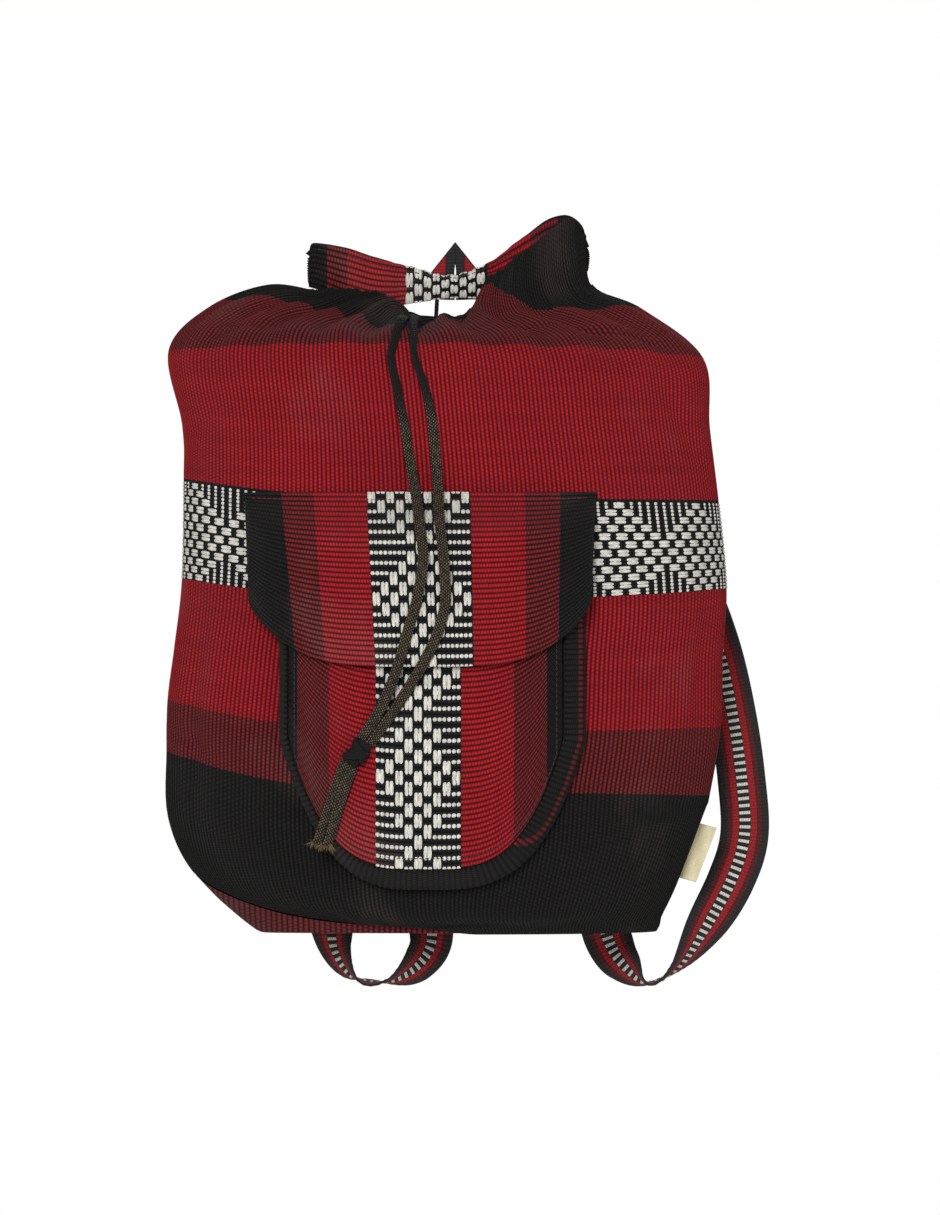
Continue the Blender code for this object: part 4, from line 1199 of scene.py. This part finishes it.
# %% Hang loop
HOOK_HEIGHT, LOOP_LEG, LOOP_POINT, LOOP_HALF, LOOP_THICKNESS = 0.4378, 0.024, 0.0140, 0.016, 0.0024
HOOK_Y = -0.0041


def loop_leg(name, side):
    up, out = spread(37, 17)
    bottom = HOOK_HEIGHT - LOOP_LEG
    top = HOOK_HEIGHT + LOOP_POINT - out * (LOOP_POINT + LOOP_LEG / 4)
    z = bottom + (top - bottom) * up
    slit = 0.0004 * (1 - smoothstep(HOOK_HEIGHT - 0.006, HOOK_HEIGHT - 0.0005, z)) + 0.00015
    x = side * (slit + (LOOP_HALF - slit) * out)
    fold = 0.0009 * np.exp(-(((top - z) / 0.002) ** 2))
    y = HOOK_Y - LOOP_THICKNESS / 2 + fold + 0.0004 * np.sin(8 * up + 3 * out)
    red = 0.02 + 0.30 * smoothstep(0.30, 0.42, out) * (1 - smoothstep(0.93, 1.0, up))
    grid, uv = joined(x, y, z)[:, ::side], joined(red, z)[:, ::side]
    obj = grid_object(name, grid, {"webbing": uv}, webbing_cloth, LOOP_THICKNESS)
    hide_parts("hang_loop")


loop_leg("loop_leg_right", 1)
loop_leg("loop_leg_left", -1)

# %% [markdown]
# A small plain tab of satin is caught in the right side seam.

# %% Side label
def label_material():
    s = Shader("bare label", 0.7)
    across, along = s.uv("weave")
    satin = s.hump(along)
    # Slow noise for stains, plus a painted highlight along the middle of each satin rib.
    stain_and_satin_highlight = s.add(s.noise(across, 0.08, along, 0.06), s.mul(satin, 0.15))
    colour = s.ramp(stain_and_satin_highlight, [(0.35, linear(206, 192, 150)), (0.8, linear(232, 222, 188))])
    return s.finish(colour, satin, 0.0001)


seam_points = np.array([ring(level, FRONT)[0][-1] for level in np.linspace(1.12, 1.80, 41)])
along, out = spread(41, 25)
wave = 0.0006 * np.sin(3.5 * out + 4 * along)
label_grid = seam_points[:, None] + joined(0.0004 + out * 0.0110, -wave, out * -0.003)
label_uv = np.stack(np.meshgrid(np.arange(25) * 1.2, np.arange(41) * 1.0), axis=-1)
label = grid_object("label_tab", label_grid, {"weave": label_uv}, label_material(), 0.0007)
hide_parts("side_label")

# %% [markdown]
# ## Stitching
#
# Seams are sewn by machine: one row in red along the flap's top, and in dark thread one round the
# pocket, one under the casing's folded edge and a crossed box on each strap end. Each stitch is a
# small raised strip, sunk a little at its ends, laid along a line that runs over the cloth.

# %% Stitches
STITCH, STITCH_GAP, STITCH_HALF = 0.0026, 0.0010, 0.00032


def stitch_row(name, line, normal, material):
    """Stitches along a line of points; normal is the cloth's outward direction at each point."""
    reach = way_along(line)
    starts = np.arange(STITCH_GAP, reach[-1] - STITCH, STITCH + STITCH_GAP)
    along = starts[:, None] + (STRIP_ALONG + 1) / 2 * STITCH
    at, out = read_along(along, reach, line), unit(read_along(along, reach, normal))
    side = np.cross(unit(np.gradient(at, axis=1)), out)
    dome = STRIP_DOME * (1 - 0.9 * STRIP_ALONG**4)
    points = at[:, None] + side[:, None] * (STRIP_ACROSS * STITCH_HALF)[:, None, None]
    points = points + out[:, None] * (0.0006 + 0.0005 * dome)[..., None]
    uv = joined(STRIP_ACROSS[:, None], along[:, None] / 0.002)
    strips_object(name, points, uv, material)


def sewn(name, smooth, runs, material):
    """A row of stitches that follows runs of a grid's corners, given as pairs of slices."""
    normal = outward(smooth)
    line, out = (np.concatenate([v[run] for run in runs]) for v in (smooth, normal))
    stitch_row(name, line, out, material)


down_left, along_foot, up_right = np.s_[:7:-1, 3], np.s_[8, 4:-4], np.s_[8:, -4]
sewn("flap_top_stitches", flap_smooth, [np.s_[-8, 3:-3]], red_thread)
sewn("pocket_stitches", pocket_smooth, [down_left, along_foot, up_right], dark_thread)
sewn("casing_stitches", casing_smooth, [np.s_[-8, 6:-6]], dark_thread)


def strap_box(name, line, at_end):
    """A box of stitches with a cross in it, through a strap's end into the back."""
    middle, across, facing = (v[::-1] if at_end else v for v in line)
    low, high, half = 4, 21, 0.0125
    corners = ((low, -half), (low, half), (high, half), (high, -half), (low, -half), (high, half))
    spots, outs = [], []
    for (row_a, side_a), (row_b, side_b) in zip(corners, corners[1:]):
        for share in np.linspace(0, 1, 12, endpoint=False):
            row = int(round(row_a + (row_b - row_a) * share))
            spots.append(middle[row] + across[row] * (side_a + (side_b - side_a) * share))
            outs.append(facing[row])
    spots, outs = np.array(spots), np.array(outs)
    outs *= np.sign(outs[:, 1:2])
    stitch_row(name, spots + outs * STRAP_THICKNESS / 2, outs, dark_thread)


for side, line in strap_lines.items():
    strap_box(f"strap_{side}_top_stitches", line, False)
    strap_box(f"strap_{side}_foot_stitches", line, True)

# %% [markdown]
# ## The drawcord
#
# The cord is a flat braid, 7 mm wide, dark brown with beige flecks. It leaves the casing in the
# middle of the front rim as two runs that hang down over the flap to one knot, and two tails go on
# from there to frayed ends. Its section is a flattened oval; the plaits rise and fall in a chevron.

# %% Braid material
def braid_material():
    s = Shader("braid", 0.8, Specular_IOR_Level=0.35)
    across, along = s.uv("braid")
    column = s.mul(across, 6.0)
    row = s.add(s.mul(along, 1 / 0.0021), s.stagger(column))
    fleck = s.mul(s.hump(column), s.hump(row, 3.0))
    grain = s.noise(across, 14.0, along, 260.0)
    bare = s.math("MAXIMUM", 0.12, s.mul(s.sub(along, 0.030), 16.0))
    shown = s.mul(s.mul(fleck, s.math("MINIMUM", 1.0, bare)), s.add(0.25, grain))
    stops = [(0.0, linear(10, 7, 7)), (0.52, linear(20, 15, 14)), (0.80, linear(130, 113, 86))]
    return s.finish(s.ramp(shown, stops), s.add(fleck, s.mul(grain, 0.3)), 0.0005)


braid = braid_material()
CORD_WIDTH, CORD_DEPTH, CORD_STEP, PLAIT = 0.0070, 0.0027, 0.0006, 0.0042


def flat_cord(name, route, turns, width=CORD_WIDTH, depth=CORD_DEPTH, start=0.0):
    """A braid along a route; turns are directions of its width, spread evenly over the route."""
    places, _ = even_places(route, 60 * len(route), CORD_STEP, 1)
    middle = through(route, places)
    across = through(turns, places * (len(turns) - 1) / (len(route) - 1))
    angle = np.linspace(0, 2 * math.pi, 25)[:-1]
    side, out = np.cos(angle), np.sin(angle)
    wide = np.sign(side) * np.abs(side) ** 0.8 * width / 2
    deep = np.sign(out) * np.abs(out) ** 0.75 * depth / 2
    along = np.arange(len(middle))[:, None] * CORD_STEP
    chevron = np.sin(2 * math.pi * (along / PLAIT - 0.9 * np.abs(side)))
    deep = deep * (1 + 0.09 * chevron * (np.abs(out) + 0.3))
    wide = wide * (1 + 0.03 * chevron)
    made, length, _ = sweep(name, middle, across, wide, deep, braid, "braid", start)
    return made, length, middle + OFFSET


# Each run's points in mm, and the directions of its width.
CORDS = {
    "drawcord_left": (
        ((-32.5, -79, 399), (-35.1, -93, 396), (-38.5, -106.2, 384.5), (-41, -111.2, 372),
         (-37, -115.5, 350.7), (-32.5, -119.7, 327.3), (-27.9, -124, 299.3), (-24.5, -136.5, 280),
         (-22.7, -153, 266), (-20.1, -170.5, 241.5), (-24, -176.8, 215.5), (-29, -181.8, 198),
         (-34.5, -184.5, 178.4), (-41, -180.5, 160), (-49, -177.5, 143), (-59.2, -174.8, 126.8)),
        ((0.5, 0.85, 0), (0.7, 0.7, 0), (0.95, 0.3, 0), (1, 0, 0), (1, 0.1, 0), (1, -0.1, 0.2)),
    ),
    "drawcord_right": (
        ((-26.2, -72.5, 399.5), (-26.8, -86.5, 397.2), (-26.8, -101.2, 387.2),
         (-26, -110.2, 372.8), (-18.8, -115.3, 350.7), (-14.3, -120, 327.3),
         (-11.7, -124.2, 299.3), (-10.5, -136.5, 280), (-9.7, -153.2, 266), (-7, -170.5, 241.5),
         (-5.8, -176.8, 215.5), (-8.5, -181.8, 202), (-13, -185.8, 188.8), (-22.1, -185.2, 171.6),
         (-31, -179.5, 157), (-40, -177.2, 143), (-54.2, -175, 123.6)),
        ((0.3, 0.95, 0), (0.6, 0.8, 0), (0.9, -0.3, 0), (1, 0, 0), (1, 0.1, 0), (0.9, 0.2, 0.4)),
    ),
    "drawcord_tail_right": (
        ((-64.5, -172.4, 110.1), (-70, -170, 96), (-74.5, -167, 82), (-79, -162.5, 66.5),
         (-81.5, -159.5, 59)),
        ((1, 0, 0.3), (1, 0.2, 0.3)),
    ),
    "drawcord_tail_left": (
        ((-69.5, -171.7, 113.4), (-75.2, -168.8, 97.5), (-80, -165.2, 83), (-85, -160.5, 67.5),
         (-87.8, -158, 60)),
        ((1, -0.2, 0.3), (1, 0, 0.3)),
    ),
}
cords = {}
for name, (route, turns) in CORDS.items():
    start = 0.3 if "tail" in name else 0.0
    piece = name.replace("drawcord", "braid")
    cords[name] = flat_cord(piece, np.array(route) / 1000, np.array(turns, float), start=start)
    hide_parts(name)
    print(name, round(float(cords[name][1]), 4), "m")

# %% [markdown]
# The knot is an overhand knot pulled tight on both cords: a lump the cords pass through, wrapped by
# two turns of the braid that cross on its front. The stretch across the mouth is the same cord
# pulled narrow, so it is made thinner.

# %% Knot and the stretch across the mouth
KNOT_PLACE = np.array((-0.0618, -0.1754, 0.1180))
KNOT_TILT = math.radians(38)
knot_up = np.array((math.sin(KNOT_TILT), 0.0, math.cos(KNOT_TILT)))
knot_side = np.array((math.cos(KNOT_TILT), 0.0, -math.sin(KNOT_TILT)))
knot_out = np.array((0.0, -1.0, 0.0))


def knot_wrap(name, lean, shift):
    angle = np.linspace(-0.6, -0.6 + 2 * math.pi * 1.02, 26)
    swing = 0.0040 * lean * np.cos(angle) + shift + 0.0008 * np.sin(2 * angle)
    route = (
        KNOT_PLACE
        + knot_side * (0.0056 * np.cos(angle))[:, None]
        + knot_out * (0.0044 * np.sin(angle))[:, None]
        + knot_up * swing[:, None]
    )
    return flat_cord(name, route, [knot_up + knot_side * 0.3 * lean] * 2, 0.0062, 0.0026)[0]


wrap_a = knot_wrap("knot_wrap_a", 0.75, -0.0012)
wrap_b = knot_wrap("knot_wrap_b", -0.8, 0.0014)
sway = np.linspace(0.0084, -0.0086, 9)[:, None]
core_route = KNOT_PLACE + knot_up * sway + knot_out * 0.0006 * np.sin(300 * sway)
core = flat_cord("knot_core", core_route, [knot_side] * 2, 0.0098, 0.0066)[0]
for piece in (wrap_a, wrap_b, core):
    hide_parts("drawcord_knot")

CROSSING = ((-12.0, -13, 412.7), (-12.2, -20.5, 407.8), (-12.4, -29, 403.5), (-12.6, -37.5, 399))
crossing_route, crossing_turns = np.array(CROSSING) / 1000, [(1.0, 0, 0)] * 2
crossing = flat_cord("braid_crossing", crossing_route, crossing_turns, 0.0027, 0.0025)[0]
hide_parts("drawcord_crossing")

# %% [markdown]
# The tails end cut and frayed: the plaits open into yellowish brown fibres that spread a little.

# %% Frayed ends
FIBRES = 90


def frayed(name, path, seed):
    random.seed(seed)
    end = path[-1] - OFFSET
    way = unit(path[-1] - path[-12])
    side = unit(np.cross(way, (0, -1, 0)))
    out = np.cross(side, way)
    t = np.linspace(0.0, 1.0, 6)
    strips, uvs = [], []
    for _ in range(FIBRES):
        across, deep = random.uniform(-1, 1), random.uniform(-1, 1)
        length = random.uniform(0.0028, 0.0062)
        curl, lift = random.uniform(-0.0025, 0.0025), random.uniform(-0.0015, 0.0015)
        line = (
            end
            - way * 0.0020
            + np.outer(t * length, way)
            + np.outer(across * 0.0029 * (1 + 0.9 * t**1.5) + curl * t**2, side)
            + np.outer(deep * 0.0010 * (1 + 1.1 * t) + lift * t**2, out)
        )
        turn = side * math.cos(6 * deep) + out * math.sin(6 * deep)
        half = 0.00022 * (1 - 0.6 * t)
        strips.append([line - turn * half[:, None], line + turn * half[:, None]])
        uvs.append(joined(np.array([[0], [1]]) + across * 9, t * 4))
    return strips_object(name, np.array(strips), np.array(uvs), fibre_thread)


cord_pieces = {
    "drawcord_left": [wrap_a, wrap_b, core],
    "drawcord_right": [crossing],
    "drawcord_tail_right": [frayed("frayed_end_right", cords["drawcord_tail_right"][2], 3)],
    "drawcord_tail_left": [frayed("frayed_end_left", cords["drawcord_tail_left"][2], 4)],
}

# %% [markdown]
# ## Cut sizes
#
# The cloth pieces' cut sizes are measured along rows and columns of the smooth grid, before ribs
# and threads are raised, and printed. The base's is measured across its round.

# %% Cut sizes
SEAM_ALLOWANCE = 0.010


def cut_size(grid):
    """The middling row, the longest column and the area of a sheet's smooth grid."""
    width = np.median(np.linalg.norm(np.diff(grid, axis=1), axis=2).sum(axis=1))
    length = np.linalg.norm(np.diff(grid, axis=0), axis=2).sum(axis=0).max()
    right, up = np.diff(grid, axis=1)[:-1], np.diff(grid, axis=0)[:, :-1]
    area = np.linalg.norm(np.cross(right, up), axis=2).sum()
    return float(width), float(length), float(min(area, width * length))


def cloth_sheet(name, grid, held, rests_on, *with_pieces, round_cut=False):
    width, length, area = cut_size(grid)
    if round_cut:
        width, length = np.ptp(grid.reshape(-1, 3), axis=0)[:2] + 2 * SEAM_ALLOWANCE
        area = min(area, float(width * length))
    print(name, round(width, 3), "x", round(length, 3), "m,", round(area, 4), "m2")


tapes = ("seam_tape_left", "seam_tape_right")
cloth_sheet("front_cloth", front_smooth, "gathered", "base_cloth", "front_band_threads")
cloth_sheet("back_cloth", back_smooth, "gathered", "front_cloth", "back_band_threads", *tapes)
cloth_sheet("base_cloth", base_grid, "stretched", "front_cloth", round_cut=True)
trim = ("pocket_band_threads", "pocket_stitches")
cloth_sheet("pocket_cloth", pocket_smooth, "stretched", "gusset_cloth", *trim)
cloth_sheet("gusset_cloth", gusset_smooth, "stretched", "front_cloth")
trim = ("flap_band_threads", "flap_top_stitches")
cloth_sheet("flap_cloth", flap_smooth, "hung", "front_cloth", *trim)
trim = ("casing_band_threads", "casing_stitches")
cloth_sheet("casing_cloth", casing_smooth, "gathered", "front_cloth", *trim)
